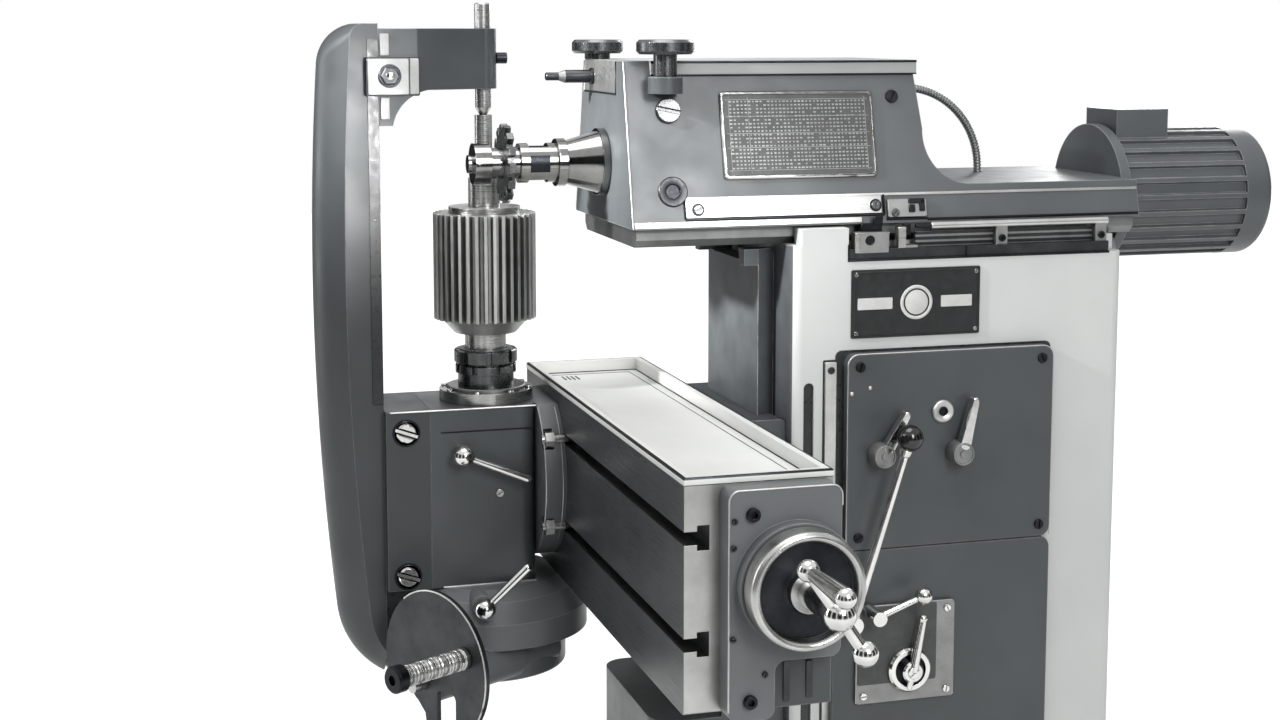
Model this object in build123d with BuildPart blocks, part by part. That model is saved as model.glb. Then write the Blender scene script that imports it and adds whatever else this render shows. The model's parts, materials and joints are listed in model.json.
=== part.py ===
from build123d import *
import math
import os

os.makedirs("parts", exist_ok=True)

# Toolroom milling machine with a dividing head on its table, in millimetres.
# +Z is up, -Y is the front, X is the table's travel. The origin is on the floor,
# under the spindle's centre plane.

# Fits
run_gap = 0.05  # radial clearance of a shaft that turns or slides in a bore
way_gap = 0.2  # clearance on the flanks of a slideway
end_gap = 1  # clearance at a shoulder or at the end of a shaft
bore_room = 2  # room round or past a shaft where nothing guides it

# Base casting
base_half_width = 260
base_front = -430
base_back = 310
base_height = 110
base_corner = 40
base_edge = 10
tray_wall = 84
tray_depth = 24
anchor_inset = 42
anchor_hole_radius = 11

# Column casting
column_half_width = 150
column_front = -170
column_back = 270
column_top = 1283
column_wall = 22
column_roof = 50
column_corner = 12
foot_overhang = 26
foot_height = 40
way_half_width = 97
way_depth = 25
way_undercut = 14
way_bottom = 330
way_drop = 8  # the vertical way stops this far under the column's top
stop_depth = 18  # stop bracket at the top of the vertical way
stop_height = 20
tongue_half_width = 70  # dovetail under the headstock, at its root
tongue_flare = 12
tongue_depth = 28
rebate_front = -99  # step in the side of the column's top, for the trip rail
rebate_width = 28
rebate_drop = 19
lip_height = 20  # low wall beside the headstock's slide, in front of the rebate
groove_y = -148.5  # vertical groove in the column's side
groove_width = 13
groove_bottom = 420
groove_top = 1117
groove_depth = 10

# Trip rail in the rebate
rail_width = 16
rail_height = 9
rail_back = 250
post_length = 16
post_pitch = 48
post_height = 36
bar_radius = 4.5

# Control panels on the column's side
panel_front = -104
panel_back = 170
panel_thick = 14
panel_corner = 14
panel_edge = 2
panel_seam = 910
panel_top = 1152
panel_bottom = 640
feed_panel_front = -120
feed_plate_front = -91
feed_plate_back = 39
feed_plate_bottom = 718
feed_plate_top = 841
feed_plate_thick = 6
nameplate_front = -95.5
nameplate_back = 73.5
nameplate_bottom = 1169
nameplate_height = 83
nameplate_top = nameplate_bottom + nameplate_height
nameplate_thick = 2
nameplate_bevel = 0.5
panel_screw_radius = 6
panel_screw_inset = 16
plate_screw_radius = 4.5
plate_screw_inset = 10
name_screw_radius = 2.6
name_screw_inset = 6
screw_head_height = 3
plug_y = 20
plug_z = 1077
plug_radius = 14
plug_height = 6
plug_floor = 2
plug_hole_radius = 4

# Levers on the control panels, pivots given as (y, z)
pivot_radius = 5
pivot_depth = 10
speed_hub_radius = 15
speed_hub_height = 20
speed_blade = 7
speed_blade_tip = 4.2
left_speed_pivot = (-63, 1029)
left_speed_tip = (-35, 1078)
right_speed_pivot = (40, 1026)
right_speed_tip = (55, 1091)
speed_knob_radius = 5
long_pivot = (-106, 828)
long_ball = (-42, 1056)
long_ball_x = 210
long_ball_radius = 16
long_rod_radius = 4.5
long_rod_root_radius = 6.3
long_hub_radius = 13
feed_pivot = (-22, 758)
feed_tip = (-9, 824)
feed_hub_radius = 28
feed_hub_height = 9
feed_arm_radius = 4.5
feed_arm_root_radius = 6.75
feed_tip_radius = 5.4
ball_pivot = (-75, 835)
ball_tip = (-15, 857)
ball_radius = 11
ball_rod_radius = 3.5
ball_rod_root_radius = 4.55
ball_hub_radius = 9
ball_lever_x = 197

# Headstock: a tapered casting on a flat slide, with a low rear part
head_front = -363
head_cap_back = 5
head_back = 300
head_base_half = 135
head_top_half = 95
slide_height = 23
head_height = 179
head_rear_height = 45
head_bottom = column_top + slide_height
head_top = head_bottom + head_height
head_rear_top = head_bottom + head_rear_height
head_wall = 14
head_front_wall = 44
head_rear_wall = 30
head_flare_start = (12, head_rear_top + 67)
head_flare_middle = (23.5, head_rear_top + 24)
head_flare_end = (66, head_rear_top)
land_depth = 32  # raised land at the front of the top
cap_height = 17
cap_half = 98
cap_edge = 3
slide_half = 120
slide_front = -355
slide_chamfer = 9
tongue_front = -160
clamp_left = -88
clamp_right = 60
clamp_drop = 23
clamp_bottom = head_top - clamp_drop
pin_x = -50
pin_up = 19
pin_z = clamp_bottom + pin_up
pin_tip = -423
pin_radius = 8
pin_point_length = 24  # from its shoulder to its end
pin_taper_length = 8
pin_tip_radius = 5
boss_x = 114  # upright boss on the casting's side, under the side knob
boss_y = -318
boss_radius = 20
boss_drop = 1
boss_height = 20
boss_top = head_top - boss_drop
boss_bottom = boss_top - boss_height
front_knob_spot = (-75, -350)
front_knob_radius = 32
side_knob_radius = 34
knob_height = 17
knob_edge = 3.4
knob_neck_radius = 16
knob_neck_height = 7
side_knob_lift = 26
side_knob_neck_radius = 14
knob_stem_radius = 9
knob_stem_depth = 16
chart_front = -248
chart_back = -52
chart_bottom = 57  # measured up the sloping side, from its lower edge
chart_top = 163
chart_thick = 2
side_screw_y = -312
slot_screw_radius = 15
slot_screw_up = 140
socket_plug_radius = 18
socket_plug_up = 44
socket_plug_hole = 7
small_screw_y = -26
small_screw_up = 155
small_screw_radius = 8
conduit_radius = 5.25
conduit_x = -51
conduit_bend = 107
conduit_drop = 22
conduit_z = head_top - conduit_drop
conduit_back = 165

# Spindle, its gear and bearings, and the motor, all on axes along Y
spindle_up = 72
spindle_z = head_bottom + spindle_up
nose_flange_radius = 41
nose_flange_thick = 8
nose_length = 41
nose_root_radius = 38
nose_end_radius = 26
front_journal_radius = 28
spindle_step = 3  # the spindle is this much thinner between its bearings
front_bearing_radius = 42
front_bearing_width = 24
rear_journal_radius = 20
rear_bearing_radius = 32
rear_bearing_width = 18
spindle_back = 4
gear_radius = 41
gear_width = 30
gear_y = -120
pinion_radius = 14
tooth_depth = 2.2
pinion_teeth = 14
motor_shaft_radius = 9
motor_flange_radius = 92
motor_flange_thick = 14
motor_radius = 80
motor_box_height = 32
motor_length = 215
motor_rib_depth = 5
motor_ribs = 24
motor_cover_length = 40

# Cutter arbor and what it carries
socket_radius = 12
socket_depth = 60
arbor_collar_radius = 29
arbor_collar_width = 11
arbor_radius = 24
arbor_length = 46
arbor_flat = 20
arbor_flat_length = 24
arbor_shaft_radius = 11
cutter_y = -486
cutter_radius = 48
cutter_width = 8
cutter_teeth = 14
cutter_gash = 11
spacer_radius = 19
front_spacer_width = 16
arbor_nut_radius = 25
arbor_nut_width = 20
arbor_end = 6

# Knee on the vertical way, and its elevating screw
knee_half = 130
knee_front = -250
knee_bottom = 520
knee_top = 1071
knee_edge = 8
knee_box_left = -118
knee_box_front = -336
knee_box_top = 706
knee_box_corner = 30
cross_half = 65  # dovetail tongue that carries the table, at its tip
cross_undercut = 12
cross_depth = 25
nut_half_length = 30
nut_half_height = 18
nut_front = -319
elevating_y = -222.5
elevating_radius = 16
elevating_spare = 64  # room above the screw with the knee at its lowest
elevating_top = 640
elevating_nut_height = 80

# Table slide, upright, with two T-slots in its front and a tray in its top
table_left = -225
table_right = 485
table_front = -410
table_bottom = 847
table_top = 1093
table_edge = 4
tray_rim = 9
table_tray_depth = 16
slot_heights = (1031, 920.5)
slot_opening = 14
slot_neck = 14
slot_width = 26
slot_depth = 13

# End bracket, lead screw, dial and ball crank, on an axis along X
screw_y = -301
screw_z = 986.5
screw_radius = 13
screw_channel_half = 20
screw_channel_front = -321
screw_wall = 25
journal_radius = 12
end_radius = 9
bracket_thick = 28
bracket_front = -372
bracket_back = -251
bracket_step_y = -322
bracket_bottom = 845
bracket_step_z = 905
bracket_top = 1084
bracket_corner = 11
bracket_boss_radius = 63.5
bracket_boss_height = 15
big_screw_radius = 7
big_screw_spots = ((-347, 1059), (-349, 866))
small_bracket_screw_radius = 3
small_bracket_screw_spots = ((-366, 1053), (-367, 1026), (-367, 932), (-333, 893))
dial_radius = 61
dial_width = 28.5
dial_dish_radius = 52
dial_dish_depth = 9
dial_hub_radius = 21
dial_edge = 2
crank_sleeve_radius = 14
crank_x = 632
crank_hub_radius = 16
crank_counter = (27, -40)
crank_counter_radius = 13
crank_throw = (-32, 46)
crank_throw_radius = 11
crank_arm_radius = 6.5
crank_handle_end = 725
crank_handle_radius = 10
crank_handle_root_radius = 6

# Dividing head on the table's front; its work spindle stands on an upright axis
work_x = -113
work_y = -489
flange_z = 976
flange_radius = 112
flange_thick = 27
flange_edge = 2
bolt_offset = 95
bolt_radius = 6
bolt_head_half = 11
bolt_head_thick = 11
bolt_nut_radius = 11
bolt_nut_height = 11
bolt_seat_depth = 13  # the nuts sit in recesses in the flange's rim
bolt_seat_radius = 14
bolt_end = 4
body_left = -178
body_right = -48
body_front = -573
body_bottom = 843
body_top = 1070
body_corner = 20
arm_left = -163
arm_right = -63
arm_back = -628
arm_top_z = 1546
arm_nose_y = -645
arm_nose_radius = 52
arm_nose_turn = 86  # degrees turned by the nose, so that the front bows out a little
arm_low = (-684, 812)
arm_toe_z = 724
arm_crown = [(-1, 35), (-0.45, 8), (0, 0), (0.45, 8), (1, 35)]  # set back of its front across its half width
head_screw_radius = 15
head_screw_spots = ((-603, 1043), (-603, 861))
body_screw_radius = 5
body_screw_spot = (-486, 960)

# Worm housing under the dividing head, as (radius, z) about the work spindle's axis
housing_outline = [(100, 725), (100, 766), (128, 775), (128, 807), (112, 832), (92, 843)]
housing_edge = 6
wheel_radius = 70
wheel_teeth = 40
wheel_tooth_depth = 3.5
wheel_bottom = 742
wheel_height = 26
wheel_room = 5
worm_angle = -60  # heading of the worm's axis seen from above, in degrees from +X
worm_offset = 82
worm_z = 755
worm_radius = 11.5
worm_half_length = 22
worm_shaft_radius = 8
worm_barrel_radius = 19
worm_barrel_half = 34
worm_boss_radius = 26
quadrant_start = 171
quadrant_thick = 6
quadrant_centre = (21, 26)
quadrant_radius = 92
quadrant_slot = 34
quadrant_slot_x = 41.5
quadrant_slot_top = -2
quadrant_slot_corner = 8
quadrant_cut = [(-92, 9), (-45, -13), (-19, -16), (2, -36), (12, -92)]  # its cut-away side, from the top
worm_shaft_end = 196
stud_radius = 13
stud_length = 108
stud_end_radius = 16
stud_end_length = 14
stud_edge = 2
stud_spot = (75, 48)

# Clamp levers of the dividing head, places given as (y, z)
lever_pin_radius = 5
lever_pin_depth = 22
lever_ball_radius = 13.5
lever_neck_radius = 9
lever_rod_radius = 4.5
lever_tip_radius = 5.85
upper_lever_x = -28
upper_lever_pivot = (-535, 1014)
upper_lever_tip = (-455, 981)
lower_boss_radius = 13
lower_boss_x = 6
lower_lever_x = 22
lower_lever_pivot = (-520, 832)
lower_lever_tip = (-467, 880)

# Work spindle, mandrel and gear blank
work_shaft_radius = 30
work_shaft_bottom = 731
work_flange_radius = 59.5
work_flange_thick = 14.5
work_nose_radius = 24
collet_radius = 40
collet_height = 51
collet_groove = 3
mandrel_shank_radius = 12
mandrel_shank_length = 38
mandrel_base_radius = 26
mandrel_base_height = 21
mandrel_body_radius = 18
mandrel_stem_radius = 11
mandrel_top = 1432
centre_hole_radius = 5
centre_half_angle = 30  # degrees, of the centre's point and of the hole for it
point_gap = 0.6
blank_boss_height = 18
blank_boss_radius = 40
blank_radius = 65
blank_height = 134
blank_teeth = 36
blank_tooth_depth = 9
washer_radius = 45
washer_height = 8
mandrel_nut_radius = 20
mandrel_nut_height = 36

# Tailstock bracket on the arm, its clamp, centre and locking screw
tail_bottom = 1465
tail_top = 1540
tail_root_bottom = 1422
tail_root_front = -611
tail_root_back = -566
tail_root_ease = 10  # added to the radius of the curve under it
tail_left = -148
tail_boss_radius = 17
tail_clamp_front = -643
tail_clamp_back = -580
tail_clamp_bottom = 1460
tail_clamp_top = 1504
tail_clamp_thick = 18
tail_bolt_radius = 14
tail_bolt_height = 9
quill_radius = 10
quill_top = 1572
quill_edge = 2
tail_screw_z = 1503
tail_screw_radius = 7
tail_screw_length = 13
tail_screw_shank = 4

# Tooth outlines: shares of the pitch along the rim, and of the tooth's depth
straight_tooth = [(-0.32, 0), (-0.18, 1), (0.18, 1), (0.32, 0)]
narrow_rib = [(-0.2, 0), (-0.14, 1), (0.14, 1), (0.2, 0)]
cutter_tooth = [(-0.42, 0), (-0.4, 1), (0.12, 0.9), (0.16, 0)]


def keep(builder, name):
    """Label a finished piece and write its STEP file."""
    builder.part.label = name
    export_step(builder.part, f"parts/{name}.step")


def block(low, high, mode=Mode.ADD):
    """Add a box between two opposite corners."""
    with Locations(tuple((a + b) / 2 for a, b in zip(low, high))):
        Box(*[b - a for a, b in zip(low, high)], mode=mode)


def turned(plane, outline, mode=Mode.ADD):
    """Turn an outline of (radius, height) points about the plane's normal."""
    profile = Plane(plane.origin, x_dir=plane.x_dir, z_dir=plane.x_dir.cross(plane.z_dir))
    off_axis = [point for point in outline if point[0] > 0]
    with BuildSketch(profile) as section:
        with BuildLine():
            Polyline((0, outline[0][1]), *off_axis, (0, outline[-1][1]), close=True)
        make_face()
    revolve(section.sketch, axis=Axis(plane.origin, plane.z_dir), mode=mode)


def disc(plane, radius, start, end, mode=Mode.ADD):
    """Add a cylinder on the plane's normal, from one height to another."""
    turned(plane, [(radius, start), (radius, end)], mode)


def bore(plane, radius, start, end):
    """Cut a round hole on the plane's normal, from one height to another."""
    disc(plane, radius, start, end, Mode.SUBTRACT)


def rod(start, end, start_radius, end_radius):
    """Add a straight rod between two points, with a radius at each end."""
    run = Vector(*end) - Vector(*start)
    turned(Plane(start, z_dir=run), [(start_radius, 0), (end_radius, run.length)])


def ball(centre, radius):
    """Add a ball."""
    with Locations(centre):
        Sphere(radius)


def along_x(y, z, x=0):
    """A plane whose normal is +X, through a point."""
    return Plane((x, y, z), x_dir=(0, 1, 0), z_dir=(1, 0, 0))


def along_front(x, z, y=0):
    """A plane whose normal is -Y, towards the front, through a point."""
    return Plane((x, y, z), x_dir=(1, 0, 0), z_dir=(0, -1, 0))


def upright(x, y, z=0):
    """A plane whose normal is +Z, through a point."""
    return Plane((x, y, z))


def dovetail(half_width, undercut, root, tip, gap=0):
    """Corners of a dovetail that widens from its root line to its tip line."""
    end = tip + math.copysign(gap, tip - root)
    narrow = half_width - undercut + gap
    wide = half_width + gap
    return [(-narrow, root), (narrow, root), (wide, end), (-wide, end)]


# Base: a plinth with a coolant tray in front of the column and four anchor holes
tray_floor = base_height - tray_depth
anchor_spots = [
    (side * (base_half_width - anchor_inset), y)
    for side in (-1, 1)
    for y in (base_front + anchor_inset, base_back - anchor_inset)
]
with BuildPart() as base:
    block(
        (-base_half_width, base_front, 0),
        (base_half_width, base_back, base_height),
    )
    fillet(base.edges().filter_by(Axis.Z), radius=base_corner)
    fillet(base.faces().sort_by(Axis.Z)[-1].edges(), radius=base_edge)
    block(
        (tray_wall - base_half_width, base_front + tray_wall, tray_floor),
        (base_half_width - tray_wall, column_front - foot_overhang - base_edge, base_height),
        Mode.SUBTRACT,
    )
    for spot in anchor_spots:
        bore(upright(*spot), anchor_hole_radius, 0, base_height)
keep(base, "base")

# Column: a hollow box casting with a vertical dovetail way in front and a dovetail
# groove along its top
cavity_top = column_top - column_roof
way_front = column_front - way_depth
way_top = column_top - way_drop
side_x = column_half_width
with BuildPart() as column:
    block(
        (-side_x, column_front, base_height),
        (side_x, column_back, column_top),
    )
    fillet(column.edges().filter_by(Axis.Z), radius=column_corner)
    block(
        (-side_x - foot_overhang, column_front - foot_overhang, base_height),
        (side_x + foot_overhang, column_back + foot_overhang / 2, base_height + foot_height),
    )
    with BuildSketch(Plane.XY.offset(way_bottom)):
        with BuildLine():
            Polyline(*dovetail(way_half_width, way_undercut, column_front, way_front), close=True)
        make_face()
    extrude(amount=way_top - way_bottom)
    block(
        (-way_half_width, way_front - stop_depth, way_top - stop_height),
        (way_half_width, way_front, way_top),
    )
    block(
        (column_wall - side_x, column_front + column_wall, base_height),
        (side_x - column_wall, column_back - column_wall, cavity_top),
        Mode.SUBTRACT,
    )
    tongue_tip = column_top - tongue_depth
    with BuildSketch(Plane.XZ.offset(-column_back)):
        with BuildLine():
            groove = dovetail(
                tongue_half_width + tongue_flare, tongue_flare, column_top, tongue_tip, way_gap
            )
            Polyline(*groove, close=True)
        make_face()
    extrude(amount=column_back - column_front + way_depth + stop_depth, mode=Mode.SUBTRACT)
    block(
        (side_x - rebate_width, rebate_front, column_top - rebate_drop),
        (side_x, column_back, column_top),
        Mode.SUBTRACT,
    )
    lip_front = column_front + column_corner
    for left, right in ((-side_x, rebate_width - side_x), (side_x - rebate_width, side_x)):
        block((left, lip_front, column_top), (right, rebate_front, column_top + lip_height))
    with BuildSketch(Plane.YZ.offset(side_x - groove_depth)):
        with Locations((groove_y, (groove_bottom + groove_top) / 2)):
            SlotOverall(groove_top - groove_bottom, groove_width, rotation=90)
    extrude(amount=groove_depth, mode=Mode.SUBTRACT)
    for y, z in (left_speed_pivot, right_speed_pivot, long_pivot, ball_pivot, feed_pivot):
        bore(along_x(y, z), pivot_radius + run_gap, side_x - pivot_depth, side_x)
keep(column, "column")

# Trip rail: a flat rail with posts that hold a bright round bar
rebate_floor = column_top - rebate_drop
rail_x = side_x - rail_width
post_spots = [rebate_front, rebate_front + post_pitch, rail_back - post_length]
bar_z = rebate_floor + post_height - 2 * bar_radius
with BuildPart() as trip_rail:
    block(
        (rail_x, rebate_front, rebate_floor),
        (side_x, rail_back, rebate_floor + rail_height),
    )
    for y in post_spots:
        block(
            (rail_x, y, rebate_floor),
            (side_x - bar_radius / 2, y + post_length, rebate_floor + post_height),
        )
    disc(
        along_front(rail_x + rail_width / 2, bar_z),
        bar_radius,
        -rail_back,
        -rebate_front - post_length,
    )
keep(trip_rail, "trip_rail")


def panel(low, high, corner, edge):
    """Add a flat plate on the column's side, with rounded corners and front edge."""
    block(low, high)
    fillet(edges().filter_by(Axis.X), radius=corner)
    rim = faces().sort_by(Axis.X)[-1]
    fillet(rim.edges(), radius=edge)


panel_x = side_x + panel_thick
plate_x = panel_x + feed_plate_thick
with BuildPart() as speed_panel:
    panel((side_x, panel_front, panel_seam), (panel_x, panel_back, panel_top), panel_corner, panel_edge)
    for y, z in (left_speed_pivot, right_speed_pivot):
        bore(along_x(y, z), pivot_radius + run_gap, side_x, panel_x)
keep(speed_panel, "speed_panel")

with BuildPart() as feed_panel:
    panel(
        (side_x, feed_panel_front, panel_bottom),
        (panel_x, panel_back, panel_seam - 2 * way_gap),
        panel_corner,
        panel_edge,
    )
    for y, z in (long_pivot, ball_pivot, feed_pivot):
        bore(along_x(y, z), pivot_radius + run_gap, side_x, panel_x)
keep(feed_panel, "feed_panel")

with BuildPart() as feed_plate:
    panel(
        (panel_x, feed_plate_front, feed_plate_bottom),
        (plate_x, feed_plate_back, feed_plate_top),
        panel_edge * 2,
        panel_edge / 2,
    )
    for y, z in (ball_pivot, feed_pivot):
        bore(along_x(y, z), pivot_radius + run_gap, panel_x, plate_x)
keep(feed_plate, "feed_plate")

with BuildPart() as nameplate:
    panel(
        (side_x, nameplate_front, nameplate_bottom),
        (side_x + nameplate_thick, nameplate_back, nameplate_top),
        panel_edge,
        nameplate_bevel,
    )
keep(nameplate, "nameplate")


def corner_spots(front, back, bottom, top, inset):
    """The (y, z) places of four screws set in from a plate's corners."""
    return [(y, z) for y in (front + inset, back - inset) for z in (bottom + inset, top - inset)]


# Screw heads on the panels and plates, and the ring plug
panel_screws = [
    (panel_x, panel_screw_radius, spot)
    for spot in corner_spots(panel_front, panel_back, panel_seam, panel_top, panel_screw_inset)
] + [
    (panel_x, panel_screw_radius, (y, panel_bottom + panel_screw_inset))
    for y in (feed_panel_front + panel_screw_inset, panel_back - panel_screw_inset)
]
plate_corners = corner_spots(
    feed_plate_front, feed_plate_back, feed_plate_bottom, feed_plate_top, plate_screw_inset
)
plate_corners.pop(1)  # the ball lever's hub is in this corner
plate_screws = [(plate_x, plate_screw_radius, spot) for spot in plate_corners]
name_screws = [
    (side_x + nameplate_thick, name_screw_radius, spot)
    for spot in corner_spots(
        nameplate_front, nameplate_back, nameplate_bottom, nameplate_top, name_screw_inset
    )
]
with BuildPart() as panel_fasteners:
    for x, radius, (y, z) in panel_screws + plate_screws + name_screws:
        disc(along_x(y, z, x), radius, 0, min(screw_head_height, radius / 2))
    disc(along_x(plug_y, plug_z, panel_x), plug_radius, 0, plug_height)
    bore(along_x(plug_y, plug_z, panel_x), plug_hole_radius, plug_floor, plug_height)
keep(panel_fasteners, "panel_fasteners")


def speed_lever(pivot, tip):
    """Add a speed lever: hub, flat tapered arm, knob at its tip, and its pivot pin."""
    hub = along_x(*pivot, panel_x)
    disc(hub, speed_hub_radius, way_gap, speed_hub_height)
    disc(hub, pivot_radius, -panel_thick - pivot_depth / 2, speed_hub_height)
    arm_x = panel_x + speed_hub_height - speed_blade
    rod((arm_x, *pivot), (arm_x, *tip), speed_blade, speed_blade_tip)
    disc(along_x(*tip, arm_x), speed_knob_radius, -speed_blade, speed_blade * 2)


# Levers on the panels
with BuildPart() as speed_lever_left:
    speed_lever(left_speed_pivot, left_speed_tip)
keep(speed_lever_left, "speed_lever_left")

with BuildPart() as speed_lever_right:
    speed_lever(right_speed_pivot, right_speed_tip)
keep(speed_lever_right, "speed_lever_right")

with BuildPart() as long_lever:
    long_hub = along_x(*long_pivot, panel_x)
    long_hub_end = long_ball_x - long_ball_radius / 2 - panel_x
    disc(long_hub, long_hub_radius, way_gap, long_hub_end)
    disc(long_hub, pivot_radius, -panel_thick - pivot_depth / 2, long_hub_end)
    rod(
        (panel_x + long_hub_end - long_rod_radius * 2, *long_pivot),
        (long_ball_x, *long_ball),
        long_rod_root_radius,
        long_rod_radius,
    )
    ball((long_ball_x, *long_ball), long_ball_radius)
keep(long_lever, "long_lever")

with BuildPart() as feed_lever:
    feed_hub = along_x(*feed_pivot, plate_x)
    disc(feed_hub, feed_hub_radius, way_gap, feed_hub_height)
    disc(feed_hub, feed_hub_radius / 2, feed_hub_height, feed_hub_height * 2)
    disc(feed_hub, pivot_radius, -feed_plate_thick - panel_thick - pivot_depth / 2, feed_hub_height)
    feed_arm_x = plate_x + feed_hub_height + feed_arm_radius
    rod((feed_arm_x, *feed_pivot), (feed_arm_x, *feed_tip), feed_arm_root_radius, feed_arm_radius)
    ball((feed_arm_x, *feed_tip), feed_tip_radius)
keep(feed_lever, "feed_lever")

with BuildPart() as ball_lever:
    ball_hub = along_x(*ball_pivot, plate_x)
    disc(ball_hub, ball_hub_radius, way_gap, ball_lever_x + ball_hub_radius - plate_x)
    disc(ball_hub, pivot_radius, -feed_plate_thick - panel_thick - pivot_depth / 2, way_gap)
    rod((ball_lever_x, *ball_pivot), (ball_lever_x, *ball_tip), ball_rod_root_radius, ball_rod_radius)
    ball((ball_lever_x, *ball_tip), ball_radius)
keep(ball_lever, "ball_lever")


def toothed(plane, teeth, tip, depth, start, end, tooth):
    """Add a toothed disc; a tooth is a list of (share of the pitch, share of the depth)."""
    pitch = 2 * math.pi / teeth
    rim = [
        (tip - depth + depth * height, (index + share) * pitch)
        for index in range(teeth)
        for share, height in tooth
    ]
    with BuildSketch(plane.offset(start)) as section:
        with BuildLine():
            Polyline(*[(r * math.cos(a), r * math.sin(a)) for r, a in rim], close=True)
        make_face()
    extrude(section.sketch, amount=end - start)


# Headstock casting: its side outline, narrowed towards the top, then hollowed
land_top = head_top + cap_height
side_slope = math.atan2(head_base_half - head_top_half, head_top - head_bottom)
land_half = head_base_half - (land_top - head_bottom) * math.tan(side_slope)
side_plane = Plane(
    (head_base_half, 0, head_bottom),
    x_dir=(0, 1, 0),
    z_dir=(math.cos(side_slope), 0, math.sin(side_slope)),
)
land_back = head_front + land_depth
hollow_half = head_top_half - head_wall
hollow_front = head_front + head_front_wall
hollow_back = head_cap_back - head_rear_wall
rear_hollow_front = head_cap_back + head_wall
rear_hollow_back = head_back - head_rear_wall
motor_z = spindle_z - gear_radius - pinion_radius
spindle_axis = along_front(0, spindle_z)
motor_axis = along_front(0, motor_z)
front_seat = front_bearing_width - hollow_front  # heights on an axis count from Y = 0 forwards
rear_seat = -hollow_back - rear_bearing_width
rear_face = head_flare_start[0]
with BuildPart() as headstock:
    with BuildSketch(Plane.YZ.offset(-head_base_half)):
        with BuildLine():
            Polyline(
                head_flare_end,
                (head_back, head_rear_top),
                (head_back, head_bottom),
                (head_front, head_bottom),
                (head_front, land_top),
                (land_back, land_top),
                (land_back, head_top),
                (head_cap_back, head_top),
                head_flare_start,
            )
            ThreePointArc(head_flare_start, head_flare_middle, head_flare_end)
        make_face()
    extrude(amount=2 * head_base_half)
    with BuildSketch(Plane.XZ.offset(-head_back)):
        with BuildLine():
            Polyline(
                (-head_base_half, head_bottom),
                (head_base_half, head_bottom),
                (land_half, land_top),
                (-land_half, land_top),
                close=True,
            )
        make_face()
    extrude(amount=head_back - head_front, mode=Mode.INTERSECT)
    disc(upright(boss_x, boss_y), boss_radius, boss_bottom, boss_top)
    block(
        (-head_base_half, head_front, clamp_bottom),
        (clamp_right, land_back, land_top),
        Mode.SUBTRACT,
    )
    block(
        (-hollow_half, hollow_front, head_bottom),
        (hollow_half, hollow_back, head_top - head_wall),
        Mode.SUBTRACT,
    )
    block(
        (-hollow_half, rear_hollow_front, head_bottom),
        (hollow_half, rear_hollow_back, head_rear_top - head_wall),
        Mode.SUBTRACT,
    )
    bore(spindle_axis, front_bearing_radius, -hollow_front, front_seat)
    bore(spindle_axis, front_journal_radius + bore_room, front_seat, -head_front)
    bore(spindle_axis, rear_bearing_radius, rear_seat, -hollow_back)
    bore(spindle_axis, rear_journal_radius + bore_room, -spindle_back - bore_room, rear_seat)
    bore(motor_axis, motor_shaft_radius + run_gap, -head_back, -hollow_back)
    bore(upright(boss_x, boss_y), knob_stem_radius + run_gap, boss_top - knob_stem_depth, boss_top)
    bore(
        along_front(conduit_x, conduit_z),
        conduit_radius + run_gap,
        -rear_face,
        -head_cap_back + head_wall,
    )
    bore(
        upright(conduit_x, conduit_back),
        conduit_radius + run_gap,
        head_rear_top - head_wall,
        head_rear_top,
    )
keep(headstock, "headstock")

with BuildPart() as headstock_cap:
    block((-cap_half, land_back, head_top), (cap_half, head_cap_back + cap_edge, land_top))
    fillet(headstock_cap.faces().sort_by(Axis.Z)[-1].edges(), radius=cap_edge)
keep(headstock_cap, "headstock_cap")

# Slide under the headstock, with its dovetail tongue
with BuildPart() as headstock_slide:
    with BuildSketch(Plane.XZ.offset(-head_back)):
        with BuildLine():
            Polyline(
                (slide_chamfer - slide_half, column_top),
                (slide_half - slide_chamfer, column_top),
                (slide_half, column_top + slide_chamfer),
                (slide_half, head_bottom),
                (-slide_half, head_bottom),
                (-slide_half, column_top + slide_chamfer),
                close=True,
            )
        make_face()
    extrude(amount=head_back - slide_front)
    with BuildSketch(Plane.XZ.offset(-head_back)):
        with BuildLine():
            tongue = dovetail(tongue_half_width + tongue_flare, tongue_flare, column_top, tongue_tip)
            Polyline(*tongue, close=True)
        make_face()
    extrude(amount=head_back - tongue_front)
keep(headstock_slide, "headstock_slide")

# Clamp block across the front of the top, with its stepped pin
with BuildPart() as clamp_block:
    block((clamp_left, head_front, clamp_bottom), (clamp_right, land_back, land_top))
    turned(
        along_front(pin_x, pin_z),
        [
            (pin_radius, -head_front - pin_radius),
            (pin_radius, -pin_tip - pin_point_length),
            (pin_tip_radius, -pin_tip - pin_point_length + pin_taper_length),
            (pin_tip_radius, -pin_tip),
        ],
    )
    bore(upright(*front_knob_spot), knob_stem_radius + run_gap, land_top - knob_stem_depth, land_top)
keep(clamp_block, "clamp_block")


def knob(spot, seat, neck_radius, neck_height, radius):
    """Add a flat knob on a neck, with its stem down into the seat."""
    top = seat + neck_height + knob_height
    turned(
        upright(*spot),
        [
            (knob_stem_radius, seat - knob_stem_depth + way_gap),
            (knob_stem_radius, seat + way_gap),
            (neck_radius, seat + way_gap),
            (neck_radius, seat + neck_height),
            (radius - knob_edge, seat + neck_height),
            (radius, seat + neck_height + knob_edge),
            (radius, top - knob_edge),
            (radius - knob_edge, top),
        ],
    )


with BuildPart() as front_knob:
    knob(front_knob_spot, land_top, knob_neck_radius, knob_neck_height, front_knob_radius)
keep(front_knob, "front_knob")

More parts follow.
